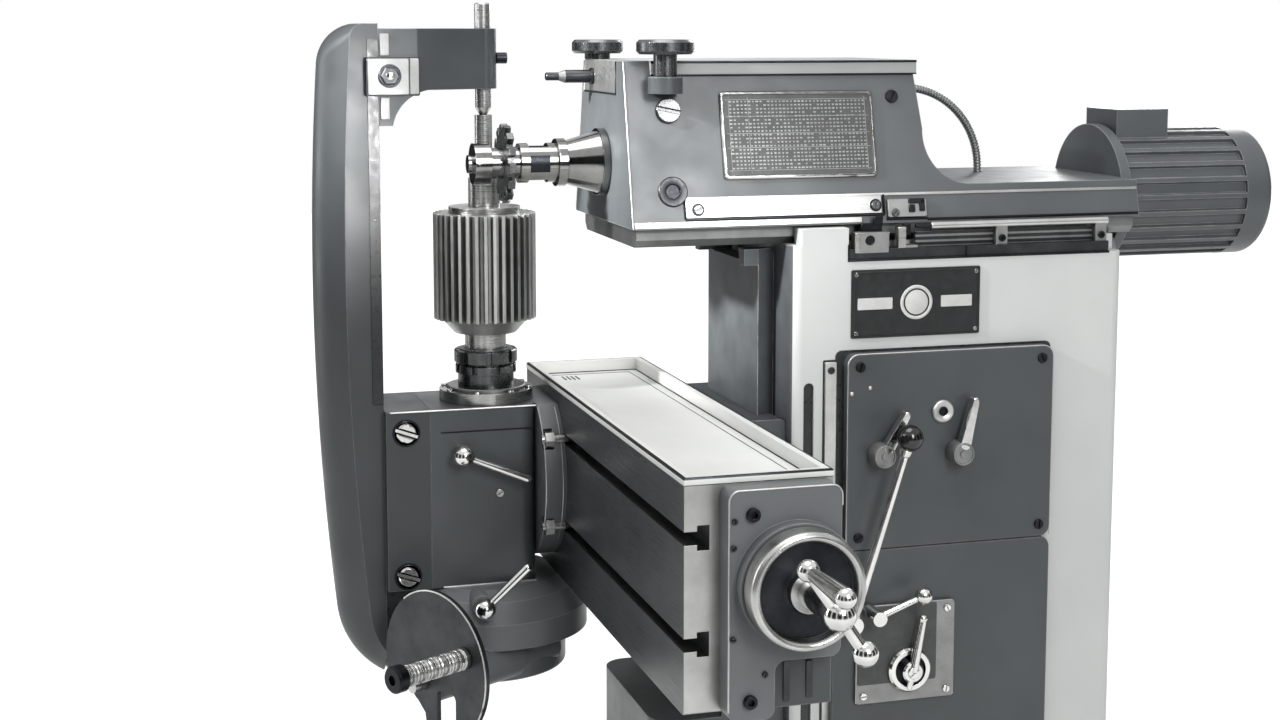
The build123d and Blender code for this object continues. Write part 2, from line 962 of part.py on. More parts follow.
with BuildPart() as side_knob:
    knob((boss_x, boss_y), boss_top, side_knob_neck_radius, side_knob_lift, side_knob_radius)
keep(side_knob, "side_knob")


def on_side(y, up):
    """A plane on the headstock's sloping side, at a place along and up it."""
    return Plane(
        side_plane.from_local_coords(Vector(y, up, 0)), x_dir=(0, 1, 0), z_dir=side_plane.z_dir
    )


# Screws and plug on the sloping side
with BuildPart() as headstock_screws:
    disc(on_side(side_screw_y, slot_screw_up), slot_screw_radius, 0, screw_head_height * 2)
    disc(on_side(side_screw_y, socket_plug_up), socket_plug_radius, 0, screw_head_height)
    bore(on_side(side_screw_y, socket_plug_up), socket_plug_hole, end_gap, screw_head_height)
    disc(on_side(small_screw_y, small_screw_up), small_screw_radius, 0, screw_head_height)
keep(headstock_screws, "headstock_screws")

with BuildPart() as chart_plate:
    with BuildSketch(side_plane):
        with Locations(((chart_front + chart_back) / 2, (chart_bottom + chart_top) / 2)):
            RectangleRounded(chart_back - chart_front, chart_top - chart_bottom, panel_edge * 2)
    extrude(amount=chart_thick)
keep(chart_plate, "chart_plate")

# Rigid conduit from the casting's rear face down to its low rear part
conduit_start = head_cap_back - head_wall / 2
with BuildPart() as conduit:
    with BuildLine() as conduit_line:
        run = Line(
            (conduit_x, conduit_start, conduit_z),
            (conduit_x, conduit_back - conduit_bend, conduit_z),
        )
        bend = TangentArc(run @ 1, (conduit_x, conduit_back, conduit_z - conduit_bend), tangent=run % 1)
        Line(bend @ 1, (conduit_x, conduit_back, head_rear_top - head_wall / 2))
    with BuildSketch(Plane((conduit_x, conduit_start, conduit_z), z_dir=(0, 1, 0))):
        Circle(conduit_radius)
    sweep(path=conduit_line.wires()[0])
keep(conduit, "conduit")

# Spindle with its nose, the gear on it, and its two bearings
nose_back = end_gap - head_front  # the nose flange runs clear of the casting's face
nose_front = nose_back + nose_flange_thick
nose_end = nose_front + nose_length
body_radius = front_journal_radius - spindle_step
with BuildPart() as spindle:
    turned(
        spindle_axis,
        [
            (rear_journal_radius, -spindle_back),
            (rear_journal_radius, end_gap - hollow_back),
            (body_radius, end_gap - hollow_back),
            (body_radius, -hollow_front - end_gap),
            (front_journal_radius, -hollow_front - end_gap),
            (front_journal_radius, nose_back),
            (nose_flange_radius, nose_back),
            (nose_flange_radius, nose_front),
            (nose_root_radius, nose_front),
            (nose_end_radius, nose_end),
        ],
    )
    bore(spindle_axis, socket_radius + run_gap, nose_end - socket_depth, nose_end)
keep(spindle, "spindle")

gear_start = -gear_y - gear_width / 2
with BuildPart() as spindle_gear:
    toothed(
        spindle_axis,
        round(pinion_teeth * gear_radius / pinion_radius),
        gear_radius - way_gap,
        tooth_depth,
        gear_start,
        gear_start + gear_width,
        straight_tooth,
    )
    bore(spindle_axis, body_radius + run_gap, gear_start, gear_start + gear_width)
keep(spindle_gear, "spindle_gear")

with BuildPart() as spindle_bearings:
    disc(spindle_axis, front_bearing_radius - run_gap, -hollow_front, front_seat)
    bore(spindle_axis, front_journal_radius + run_gap, -hollow_front, front_seat)
    disc(spindle_axis, rear_bearing_radius - run_gap, rear_seat, -hollow_back)
    bore(spindle_axis, rear_journal_radius + run_gap, rear_seat, -hollow_back)
keep(spindle_bearings, "spindle_bearings")

# Flange motor behind the headstock, and its shaft with the driving pinion
motor_start = head_back + motor_flange_thick
motor_back = motor_start + motor_length
shaft_back = motor_start + motor_length / 2
with BuildPart() as drive_motor:
    disc(motor_axis, motor_flange_radius, -motor_start, -head_back)
    toothed(
        motor_axis,
        motor_ribs,
        motor_radius + motor_rib_depth,
        motor_rib_depth,
        motor_cover_length - motor_back,
        -motor_start,
        narrow_rib,
    )
    disc(motor_axis, motor_radius + motor_rib_depth, -motor_back, motor_cover_length - motor_back)
    fillet(drive_motor.faces().sort_by(Axis.Y)[-1].edges(), radius=motor_rib_depth * 2)
    block(
        (-motor_radius / 2, motor_start + motor_rib_depth, motor_z + motor_radius - motor_rib_depth),
        (motor_radius / 2, motor_start + motor_radius, motor_z + motor_radius + motor_box_height),
    )
    bore(motor_axis, motor_shaft_radius + run_gap, -shaft_back, -head_back)
keep(drive_motor, "drive_motor")

with BuildPart() as motor_pinion:
    disc(motor_axis, motor_shaft_radius, end_gap - shaft_back, gear_start + gear_width)
    toothed(
        motor_axis,
        pinion_teeth,
        pinion_radius - way_gap,
        tooth_depth,
        gear_start,
        gear_start + gear_width,
        straight_tooth,
    )
keep(motor_pinion, "motor_pinion")

# Cutter arbor, disc cutter, spacer rings and nut
collar_end = nose_end + arbor_collar_width
arbor_body_end = collar_end + arbor_length
cutter_start = -cutter_y - cutter_width / 2
cutter_end = cutter_start + cutter_width
nut_start = cutter_end + front_spacer_width
nut_end = nut_start + arbor_nut_width
flat_start = arbor_body_end - (arbor_length + arbor_flat_length) / 2
with BuildPart() as cutter_arbor:
    turned(
        spindle_axis,
        [
            (socket_radius, nose_end - socket_depth + bore_room),
            (socket_radius, nose_end),
            (arbor_collar_radius, nose_end),
            (arbor_collar_radius, collar_end),
            (arbor_radius, collar_end),
            (arbor_radius, arbor_body_end),
            (arbor_shaft_radius, arbor_body_end),
            (arbor_shaft_radius, nut_end + arbor_end),
        ],
    )
    for side in (-1, 1):
        with Locations((0, -flat_start - arbor_flat_length / 2, spindle_z + side * arbor_radius)):
            Box(
                2 * arbor_radius,
                arbor_flat_length,
                2 * (arbor_radius - arbor_flat),
                mode=Mode.SUBTRACT,
            )
keep(cutter_arbor, "cutter_arbor")

with BuildPart() as gear_cutter:
    toothed(
        spindle_axis, cutter_teeth, cutter_radius, cutter_gash, cutter_start, cutter_end, cutter_tooth
    )
    bore(spindle_axis, arbor_shaft_radius + run_gap, cutter_start, cutter_end)
keep(gear_cutter, "gear_cutter")

with BuildPart() as arbor_spacers:
    for start, end in ((arbor_body_end, cutter_start), (cutter_end, nut_start)):
        disc(spindle_axis, spacer_radius, start, end)
        bore(spindle_axis, arbor_shaft_radius + run_gap, start, end)
keep(arbor_spacers, "arbor_spacers")

with BuildPart() as arbor_nut:
    disc(spindle_axis, arbor_nut_radius, nut_start, nut_end)
    bore(spindle_axis, arbor_shaft_radius + run_gap, nut_start, nut_end)
keep(arbor_nut, "arbor_nut")

# Elevating screw, from the tray's floor up into the knee
with BuildPart() as elevating_screw:
    disc(upright(0, elevating_y), elevating_radius, tray_floor, elevating_top)
keep(elevating_screw, "elevating_screw")

# Knee: a deep casting that slides on the column, with a dovetail tongue for the table
knee_back = column_front - way_gap
cross_tip = knee_front - cross_depth
nut_hole = elevating_radius + run_gap
screw_room = elevating_top + knee_bottom - way_bottom + elevating_spare
with BuildPart() as knee:
    block((-knee_half, knee_front, knee_bottom), (knee_half, knee_back, knee_top))
    fillet(knee.edges().filter_by(Axis.X), radius=knee_edge)
    block((knee_box_left, knee_box_front, knee_bottom), (knee_half, knee_front, knee_box_top))
    front_edges = knee.faces().sort_by(Axis.Y)[0].edges()
    fillet(front_edges.filter_by(Axis.Z), radius=knee_box_corner)
    with BuildSketch(Plane.YZ.offset(-knee_half)):
        with BuildLine():
            tail = dovetail(cross_half, cross_undercut, knee_front, cross_tip)
            Polyline(*[(y, screw_z + z) for z, y in tail], close=True)
        make_face()
    extrude(amount=2 * knee_half)
    block(
        (-nut_half_length, nut_front, screw_z - nut_half_height),
        (nut_half_length, cross_tip, screw_z + nut_half_height),
    )
    with BuildSketch(Plane.XY.offset(knee_bottom)):
        with BuildLine():
            groove = dovetail(way_half_width, way_undercut, column_front, way_front, way_gap)
            Polyline(*groove, close=True)
        make_face()
    extrude(amount=knee_top - knee_bottom, mode=Mode.SUBTRACT)
    bore(along_x(screw_y, screw_z), screw_radius + run_gap, -nut_half_length, nut_half_length)
    bore(upright(0, elevating_y), nut_hole, knee_bottom, knee_bottom + elevating_nut_height)
    bore(upright(0, elevating_y), nut_hole + bore_room, knee_bottom + elevating_nut_height, screw_room)
keep(knee, "knee")

# Table slide
table_back = knee_front - way_gap
tray_bottom = table_top - table_tray_depth
slot_floor = table_front + slot_neck + slot_depth
screw_axis = along_x(screw_y, screw_z)
with BuildPart() as table_slide:
    block((table_left, table_front, table_bottom), (table_right, table_back, table_top))
    fillet(table_slide.edges().filter_by(Axis.Y), radius=table_edge)
    block(
        (table_left + tray_rim, table_front + tray_rim, tray_bottom),
        (table_right - tray_rim, table_back - tray_rim, table_top),
        Mode.SUBTRACT,
    )
    for z in slot_heights:
        block(
            (table_left, table_front, z - slot_opening / 2),
            (table_right, table_front + slot_neck, z + slot_opening / 2),
            Mode.SUBTRACT,
        )
        block(
            (table_left, table_front + slot_neck, z - slot_width / 2),
            (table_right, slot_floor, z + slot_width / 2),
            Mode.SUBTRACT,
        )
    with BuildSketch(Plane.YZ.offset(table_left)):
        with BuildLine():
            groove = dovetail(cross_half, cross_undercut, knee_front, cross_tip, way_gap)
            Polyline(*[(y, screw_z + z) for z, y in groove], close=True)
        make_face()
    extrude(amount=table_right - table_left, mode=Mode.SUBTRACT)
    block(
        (table_left + screw_wall, screw_channel_front, screw_z - screw_channel_half),
        (table_right, cross_tip, screw_z + screw_channel_half),
        Mode.SUBTRACT,
    )
    bore(screw_axis, journal_radius + run_gap, table_left, table_left + screw_wall)
keep(table_slide, "table_slide")

# End bracket with its round boss, and the screws that hold it
bracket_face = table_right + bracket_thick
boss_face = bracket_face + bracket_boss_height
with BuildPart() as end_bracket:
    block(
        (table_right, bracket_front, bracket_step_z), (bracket_face, bracket_back, bracket_top)
    )
    block(
        (table_right, bracket_front, bracket_bottom),
        (bracket_face, bracket_step_y, bracket_step_z),
    )
    fillet(end_bracket.edges().filter_by(Axis.X), radius=bracket_corner)
    disc(screw_axis, bracket_boss_radius, bracket_face, boss_face)
    bore(screw_axis, journal_radius + run_gap, table_right, boss_face)
keep(end_bracket, "end_bracket")

with BuildPart() as bracket_screws:
    for y, z in big_screw_spots:
        disc(along_x(y, z, bracket_face), big_screw_radius, 0, screw_head_height * 2)
    for y, z in small_bracket_screw_spots:
        disc(along_x(y, z, bracket_face), small_bracket_screw_radius, 0, screw_head_height)
keep(bracket_screws, "bracket_screws")

# Lead screw, graduated dial and ball crank, which turn together
dial_start = boss_face + way_gap
dial_end = dial_start + dial_width
screw_end = crank_x - bore_room
with BuildPart() as lead_screw:
    turned(
        screw_axis,
        [
            (journal_radius, table_left),
            (journal_radius, table_left + screw_wall + end_gap),
            (screw_radius, table_left + screw_wall + end_gap),
            (screw_radius, table_right - end_gap),
            (journal_radius, table_right - end_gap),
            (journal_radius, dial_end),
            (end_radius, dial_end),
            (end_radius, screw_end),
        ],
    )
keep(lead_screw, "lead_screw")

with BuildPart() as feed_dial:
    disc(screw_axis, dial_radius, dial_start, dial_end)
    chamfer(feed_dial.faces().sort_by(Axis.X)[-1].edges(), length=dial_edge)
    bore(screw_axis, dial_dish_radius, dial_end - dial_dish_depth, dial_end)
    disc(screw_axis, dial_hub_radius, dial_end - dial_dish_depth, dial_end)
    bore(screw_axis, journal_radius + run_gap, dial_start, dial_end)
keep(feed_dial, "feed_dial")

counter_spot = (crank_x, screw_y + crank_counter[0], screw_z + crank_counter[1])
throw_spot = (crank_x, screw_y + crank_throw[0], screw_z + crank_throw[1])
with BuildPart() as ball_crank:
    disc(screw_axis, crank_sleeve_radius, dial_end, crank_x)
    ball((crank_x, screw_y, screw_z), crank_hub_radius)
    rod(counter_spot, throw_spot, crank_arm_radius, crank_arm_radius)
    ball(counter_spot, crank_counter_radius)
    ball(throw_spot, crank_throw_radius)
    rod(throw_spot, (crank_handle_end, *throw_spot[1:]), crank_handle_root_radius, crank_handle_radius)
    ball((crank_handle_end, *throw_spot[1:]), crank_handle_radius)
    bore(screw_axis, end_radius + run_gap, dial_end, screw_end + end_gap)
keep(ball_crank, "ball_crank")

# Swivel flange of the dividing head, and the four T-bolts that hold it to the table
work_axis = upright(work_x, work_y)
flange_front = table_front - flange_thick
bolt_spots = [(work_x + side * bolt_offset, z) for side in (-1, 1) for z in slot_heights]
nut_seat = -flange_front - bolt_seat_depth
with BuildPart() as swivel_flange:
    disc(along_front(work_x, flange_z), flange_radius, -table_front, -flange_front)
    chamfer(swivel_flange.faces().sort_by(Axis.Y)[0].edges(), length=flange_edge)
    block(
        (work_x - flange_radius, flange_front, body_top),
        (work_x + flange_radius, table_front, flange_z + flange_radius),
        Mode.SUBTRACT,
    )
    for x, z in bolt_spots:
        bore(along_front(x, z), bolt_radius + run_gap, -table_front, -flange_front)
        bore(along_front(x, z), bolt_seat_radius, nut_seat, -flange_front)
keep(swivel_flange, "swivel_flange")

slot_lip = -table_front - slot_neck
nut_face = nut_seat + bolt_nut_height
with BuildPart() as t_bolts:
    for x, z in bolt_spots:
        block(
            (x - bolt_head_half, -slot_lip, z - bolt_head_half),
            (x + bolt_head_half, bolt_head_thick - slot_lip, z + bolt_head_half),
        )
        disc(along_front(x, z), bolt_radius, slot_lip, nut_face + bolt_end)
        with BuildSketch(along_front(x, z).offset(nut_seat)) as hexagon:
            RegularPolygon(radius=bolt_nut_radius, side_count=6)
        extrude(hexagon.sketch, amount=bolt_nut_height)
keep(t_bolts, "t_bolts")

# Body of the dividing head
with BuildPart() as head_body:
    block((body_left, body_front, body_bottom), (body_right, flange_front, body_top))
    back_edges = head_body.faces().sort_by(Axis.Y)[-1].edges()
    fillet(back_edges.filter_by(Axis.Z), radius=body_corner)
    bore(work_axis, work_shaft_radius + run_gap, body_bottom, body_top)
    bore(
        along_x(*upper_lever_pivot),
        lever_pin_radius + run_gap,
        body_right - lever_pin_depth,
        body_right,
    )
keep(head_body, "head_body")

# Worm housing, with the barrel that holds the worm
heading = math.radians(worm_angle)
worm_way = Vector(math.cos(heading), math.sin(heading), 0)
worm_across = Vector(-math.sin(heading), math.cos(heading), 0)
worm_middle = Vector(work_x, work_y, worm_z) + worm_across * worm_offset
worm_axis = Plane(worm_middle, x_dir=worm_across, z_dir=worm_way)
wheel_top = wheel_bottom + wheel_height
with BuildPart() as worm_housing:
    turned(work_axis, housing_outline)
    fillet(worm_housing.faces().sort_by(Axis.Z)[0].edges(), radius=housing_edge)
    disc(worm_axis, worm_barrel_radius, -worm_barrel_half, worm_barrel_half)
    disc(worm_axis, worm_boss_radius, worm_barrel_half, quadrant_start)
    disc(along_x(*lower_lever_pivot), lower_boss_radius, lower_boss_x - lever_pin_depth * 2, lower_boss_x)
    bore(work_axis, wheel_radius + wheel_room, wheel_bottom - wheel_room, wheel_top + wheel_room)
    bore(work_axis, work_shaft_radius + run_gap, work_shaft_bottom - bore_room, body_bottom)
    worm_room = worm_half_length + bore_room
    bore(worm_axis, worm_radius + bore_room, -worm_room, worm_room)
    bore(worm_axis, worm_shaft_radius + run_gap, -worm_barrel_half, quadrant_start)
    bore(
        along_x(*lower_lever_pivot),
        lever_pin_radius + run_gap,
        lower_boss_x - lever_pin_depth,
        lower_boss_x,
    )
keep(worm_housing, "worm_housing")


def arm_outline(inset):
    """Draw the arm's side outline, with its bowed front moved back by an inset."""
    low = (arm_low[0] + inset, arm_low[1])
    with BuildLine() as outline:
        Line((arm_back, arm_top_z), (arm_nose_y, arm_top_z))
        nose = JernArc((arm_nose_y, arm_top_z), (-1, 0), arm_nose_radius - inset, arm_nose_turn)
        bow = TangentArc(nose @ 1, low, tangent=nose % 1)
        toe = TangentArc(low, (arm_back, arm_toe_z + inset), tangent=bow % 1)
        Line(toe @ 1, (arm_back, arm_top_z))
    make_face(outline.edges())


# Support arm: a tall casting in front of the head, its front bowed upwards and crowned across
arm_x = (arm_left + arm_right) / 2
arm_sections = []
with BuildPart() as support_arm:
    for share, inset in arm_crown:
        with BuildSketch(Plane.YZ.offset(arm_x + share * (arm_right - arm_x))) as section:
            arm_outline(inset)
        arm_sections.append(section.sketch)
    loft(arm_sections)
    block((body_left, arm_back, body_bottom), (body_right, body_front, body_top))
keep(support_arm, "support_arm")

with BuildPart() as head_screws:
    for y, z in head_screw_spots:
        disc(along_x(y, z, body_right), head_screw_radius, 0, screw_head_height * 2)
    disc(along_x(*body_screw_spot, body_right), body_screw_radius, 0, screw_head_height)
keep(head_screws, "head_screws")


def clamp_lever(x, pivot, tip, face):
    """Add a clamp lever: ball hub, round handle, neck on the face and pivot pin in it."""
    disc(along_x(*pivot), lever_neck_radius, face + way_gap, x)
    disc(along_x(*pivot), lever_pin_radius, face - lever_pin_depth + end_gap, x)
    ball((x, *pivot), lever_ball_radius)
    rod((x, *pivot), (x, *tip), lever_rod_radius, lever_tip_radius)
    ball((x, *tip), lever_tip_radius)


with BuildPart() as clamp_lever_upper:
    clamp_lever(upper_lever_x, upper_lever_pivot, upper_lever_tip, body_right)
keep(clamp_lever_upper, "clamp_lever_upper")

with BuildPart() as clamp_lever_lower:
    clamp_lever(lower_lever_x, lower_lever_pivot, lower_lever_tip, lower_boss_x)
keep(clamp_lever_lower, "clamp_lever_lower")

# Work spindle with its flange and nose, and the nut on the nose
flange_bottom = body_top + way_gap
flange_top = flange_bottom + work_flange_thick
nose_top = flange_top + collet_height
shank_bottom = nose_top - mandrel_shank_length
with BuildPart() as work_spindle:
    turned(
        work_axis,
        [
            (work_shaft_radius, work_shaft_bottom),
            (work_shaft_radius, flange_bottom),
            (work_flange_radius, flange_bottom),
            (work_flange_radius, flange_top),
            (work_nose_radius, flange_top),
            (work_nose_radius, nose_top),
        ],
    )
    bore(work_axis, mandrel_shank_radius + run_gap, shank_bottom - bore_room, nose_top)
keep(work_spindle, "work_spindle")

collet_middle = flange_top + collet_height / 2
with BuildPart() as collet_nut:
    turned(
        work_axis,
        [
            (collet_radius - collet_groove, flange_top),
            (collet_radius, flange_top + collet_groove),
            (collet_radius, collet_middle - collet_groove),
            (collet_radius - collet_groove, collet_middle - collet_groove),
            (collet_radius - collet_groove, collet_middle),
            (collet_radius, collet_middle),
            (collet_radius, nose_top - collet_groove * 2),
            (collet_radius - collet_groove * 2, nose_top),
        ],
    )
    bore(work_axis, work_nose_radius + run_gap, flange_top, nose_top)
keep(collet_nut, "collet_nut")

# Mandrel, gear blank, and the washer and nut that hold it
blank_boss_bottom = nose_top + mandrel_base_height
blank_bottom = blank_boss_bottom + blank_boss_height
blank_top = blank_bottom + blank_height
mandrel_nut_top = blank_top + washer_height + mandrel_nut_height
hole_depth = centre_hole_radius / math.tan(math.radians(centre_half_angle))
with BuildPart() as mandrel:
    turned(
        work_axis,
        [
            (mandrel_shank_radius, shank_bottom),
            (mandrel_shank_radius, nose_top),
            (mandrel_base_radius, nose_top),
            (mandrel_base_radius, blank_boss_bottom),
            (mandrel_body_radius, blank_boss_bottom),
            (mandrel_body_radius, blank_top - end_gap),
            (mandrel_stem_radius, blank_top - end_gap),
            (mandrel_stem_radius, mandrel_top),
        ],
    )
    turned(
        work_axis, [(0, mandrel_top - hole_depth), (centre_hole_radius, mandrel_top)], Mode.SUBTRACT
    )
keep(mandrel, "mandrel")

with BuildPart() as gear_blank:
    toothed(
        work_axis,
        blank_teeth,
        blank_radius,
        blank_tooth_depth,
        blank_bottom,
        blank_top,
        straight_tooth,
    )
    turned(
        work_axis,
        [(blank_boss_radius, blank_boss_bottom), (blank_radius - blank_tooth_depth, blank_bottom)],
    )
    bore(work_axis, mandrel_body_radius + run_gap, blank_boss_bottom, blank_top)
keep(gear_blank, "gear_blank")

with BuildPart() as mandrel_nut:
    disc(work_axis, washer_radius, blank_top, blank_top + washer_height)
    disc(work_axis, mandrel_nut_radius, blank_top + washer_height, mandrel_nut_top)
    bore(work_axis, mandrel_stem_radius + run_gap, blank_top, mandrel_nut_top)
keep(mandrel_nut, "mandrel_nut")

# Worm wheel on the work spindle, and the worm that drives it
with BuildPart() as worm_wheel:
    toothed(
        work_axis,
        wheel_teeth,
        wheel_radius,
        wheel_tooth_depth,
        wheel_bottom,
        wheel_top,
        straight_tooth,
    )
    bore(work_axis, work_shaft_radius + run_gap, wheel_bottom, wheel_top)
keep(worm_wheel, "worm_wheel")

with BuildPart() as worm_shaft:
    disc(worm_axis, worm_radius, -worm_half_length, worm_half_length)
    disc(worm_axis, worm_shaft_radius, -worm_barrel_half, worm_shaft_end)
keep(worm_shaft, "worm_shaft")

# Quadrant plate that carries the change-gear stud
quadrant_face = quadrant_start + way_gap + quadrant_thick
with BuildPart() as quadrant_plate:
    with BuildSketch(worm_axis.offset(quadrant_start + way_gap)):
        with Locations(quadrant_centre):
            Circle(quadrant_radius)
        with BuildLine():
            Polyline(*quadrant_cut, (-quadrant_radius, -quadrant_radius), close=True)
        make_face(mode=Mode.SUBTRACT)
        Circle(worm_boss_radius)
        with Locations((quadrant_slot_x, quadrant_slot_top - quadrant_radius)):
            RectangleRounded(quadrant_slot, 2 * quadrant_radius, quadrant_slot_corner, mode=Mode.SUBTRACT)
    extrude(amount=quadrant_thick)
    bore(worm_axis, worm_shaft_radius + run_gap, quadrant_start, quadrant_face)
keep(quadrant_plate, "quadrant_plate")

stud_middle = worm_axis.from_local_coords(Vector(*stud_spot, 0))
stud_axis = Plane(stud_middle, x_dir=worm_across, z_dir=worm_way)
with BuildPart() as quadrant_stud:
    stud_end = quadrant_face + stud_length
    disc(stud_axis, stud_radius, quadrant_face, stud_end)
    disc(stud_axis, stud_end_radius, stud_end - stud_end_length, stud_end)
    chamfer(quadrant_stud.edges().sort_by(Axis(stud_middle, worm_way))[-1], length=stud_edge)
keep(quadrant_stud, "quadrant_stud")

# Tailstock bracket: its side outline, cut to its outline seen from above
tail_back = work_y
with BuildPart() as tail_bracket:
    with BuildSketch(Plane.YZ.offset(arm_left)):
        with BuildLine():
            Polyline(
                (tail_root_back, tail_bottom),
                (tail_back, tail_bottom),
                (tail_back, tail_top),
                (arm_back, tail_top),
                (arm_back, tail_root_bottom),
                (tail_root_front, tail_root_bottom),
            )
            RadiusArc(
                (tail_root_front, tail_root_bottom),
                (tail_root_back, tail_bottom),
                tail_bottom - tail_root_bottom + tail_root_ease,
            )
        make_face()
    extrude(amount=arm_right - arm_left)
    with BuildSketch(Plane.XY.offset(tail_root_bottom)):
        with BuildLine():
            Polyline(
                (tail_left, arm_back),
                (arm_right, arm_back),
                (arm_right, tail_clamp_back),
                (work_x + tail_boss_radius, tail_back),
                (work_x - tail_boss_radius, tail_back),
                (tail_left, tail_clamp_back),
                close=True,
            )
        make_face()
    extrude(amount=tail_top - tail_root_bottom, mode=Mode.INTERSECT)
    disc(work_axis, tail_boss_radius, tail_bottom, tail_top)
    bore(work_axis, quill_radius + run_gap, tail_bottom, tail_top)
    bore(
        along_front(work_x, tail_screw_z),
        tail_screw_shank + run_gap,
        -work_y - tail_boss_radius,
        -work_y - quill_radius,
    )
keep(tail_bracket, "tail_bracket")

tail_bolt_y = (tail_clamp_front + tail_clamp_back) / 2
tail_bolt_z = (tail_clamp_bottom + tail_clamp_top) / 2
tail_clamp_face = arm_right + tail_clamp_thick
with BuildPart() as tail_clamp:
    block(
        (arm_right, tail_clamp_front, tail_clamp_bottom),
        (tail_clamp_face, tail_clamp_back, tail_clamp_top),
    )
    with BuildSketch(along_x(tail_bolt_y, tail_bolt_z, tail_clamp_face)):
        RegularPolygon(radius=tail_bolt_radius, side_count=6)
    extrude(amount=tail_bolt_height)
keep(tail_clamp, "tail_clamp")

# Tail centre with its point in the mandrel, and the screw that locks it
point_z = mandrel_top - hole_depth + point_gap
with BuildPart() as tail_centre:
    turned(
        work_axis,
        [
            (0, point_z),
            (quill_radius, point_z + quill_radius / math.tan(math.radians(centre_half_angle))),
            (quill_radius, quill_top - quill_edge),
            (quill_radius - quill_edge, quill_top),
        ],
    )
keep(tail_centre, "tail_centre")

screw_seat = work_y + tail_boss_radius + way_gap
with BuildPart() as tail_screw:
    disc(
        along_front(work_x, tail_screw_z),
        tail_screw_radius,
        -screw_seat - tail_screw_length,
        -screw_seat,
    )
    disc(
        along_front(work_x, tail_screw_z),
        tail_screw_shank,
        -screw_seat,
        -work_y - quill_radius - end_gap,
    )
keep(tail_screw, "tail_screw")
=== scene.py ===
# %% [markdown]
# # An upright milling machine
#
# The solids of the machine are already drawn and packed as one frame: 60 named pieces on 22 bodies, of which
# the column's body stands still. This lesson dresses that frame. Every piece gets a finish that says what it
# is made of, and the small things that give a machine tool its look are added: slots in screws, knurls,
# threads, ribs, gib strips, joint lines and rubbed edges. Some of the dark lines and the darker corners are
# painted shade, and the bright edges are painted highlights as well as wear. All lengths are written in
# millimetres and turned to metres once; only the floor, the cloths and the lamps of the stage are written in
# metres.

# %% Load the frame
import json
import math

import bmesh
import bpy
from mathutils import Matrix, Vector


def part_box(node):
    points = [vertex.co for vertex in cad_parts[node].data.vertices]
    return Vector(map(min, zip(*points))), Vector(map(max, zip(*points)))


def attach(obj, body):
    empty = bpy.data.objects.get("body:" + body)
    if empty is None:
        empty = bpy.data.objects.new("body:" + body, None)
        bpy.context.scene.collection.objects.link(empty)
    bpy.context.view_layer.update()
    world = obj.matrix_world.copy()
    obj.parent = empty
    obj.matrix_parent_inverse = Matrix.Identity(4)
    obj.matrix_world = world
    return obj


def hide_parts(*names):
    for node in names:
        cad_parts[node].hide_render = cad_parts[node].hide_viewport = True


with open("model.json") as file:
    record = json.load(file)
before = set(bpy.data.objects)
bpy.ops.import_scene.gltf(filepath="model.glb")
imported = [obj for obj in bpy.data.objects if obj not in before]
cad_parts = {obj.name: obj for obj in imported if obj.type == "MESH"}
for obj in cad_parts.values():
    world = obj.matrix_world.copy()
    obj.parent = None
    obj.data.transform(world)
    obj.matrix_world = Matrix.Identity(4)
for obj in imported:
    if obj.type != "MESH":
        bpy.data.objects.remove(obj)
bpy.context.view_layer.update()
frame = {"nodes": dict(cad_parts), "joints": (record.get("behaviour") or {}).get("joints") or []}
nodes = frame["nodes"]
MM = 0.001

# %% [markdown]
# ## The stage
#
# The picture was taken with a view camera: it stands at the height of the machine's top, to the right of
# the dividing head, and looks a little down. Part of the fall is done with the lens shift, as on a view
# camera, which keeps the uprights almost parallel. The floor and the world are plain and pale, so the
# background burns out to paper white for the camera and stays a soft grey light for everything else.

# %% Camera
scene = bpy.context.scene
scene.view_settings.view_transform = "Standard"

camera_place = Vector((2298.7, -978.0, 1540.0)) * MM
view_x, view_y, heading_trim = -0.961, 0.2767, -0.326
camera_heading = math.degrees(math.atan2(view_y, view_x)) + heading_trim
camera_fall = 6.92
camera_data = bpy.data.cameras.new("view_camera")
camera_data.sensor_width = 36.0
camera_data.lens = 54.6
camera_data.shift_x, camera_data.shift_y = -0.0085, -0.075
camera_data.clip_end = 50.0
camera = bpy.data.objects.new("view_camera", camera_data)
camera.location = camera_place
camera.rotation_euler = (math.radians(90.0 - camera_fall), 0.0, math.radians(camera_heading - 90.0))
scene.collection.objects.link(camera)
scene.camera = camera
print("camera heading", round(camera_heading, 2), "degrees from +X")


# %% [markdown]
# A few small helpers are used everywhere. The first turns a colour as written on a paint card (sRGB hex) to
# the linear numbers that a shader works with. The second adds one node with its settings and links, and the
# rest are the nodes that come back in every finish: a ramp, a sum, a range, a mix, a noise and a bump.

# %% Colour and node helpers
def linear(hex_colour):
    """Turn an sRGB hex colour to linear RGBA."""
    parts = [int(hex_colour[i : i + 2], 16) / 255.0 for i in (1, 3, 5)]
    curve = [p / 12.92 if p <= 0.04045 else ((p + 0.055) / 1.055) ** 2.4 for p in parts]
    return (*curve, 1.0)


def add(tree, kind, links=None, **settings):
    """Add a node; links give its inputs a number, a colour or another node's output."""
    node = tree.nodes.new(kind)
    for name, value in settings.items():
        setattr(node, name, value)
    for key, value in (links or {}).items():
        if isinstance(value, bpy.types.NodeSocket):
            tree.links.new(value, node.inputs[key])
        else:
            node.inputs[key].default_value = value
    return node


def new_material(name):
    """An empty material: its tree, its output node and the coordinates of the piece it is on."""
    material = bpy.data.materials.new(name)
    material.use_nodes = True
    tree = material.node_tree
    tree.nodes.clear()
    out = add(tree, "ShaderNodeOutputMaterial")
    return material, tree, out, add(tree, "ShaderNodeTexCoord").outputs["Object"]


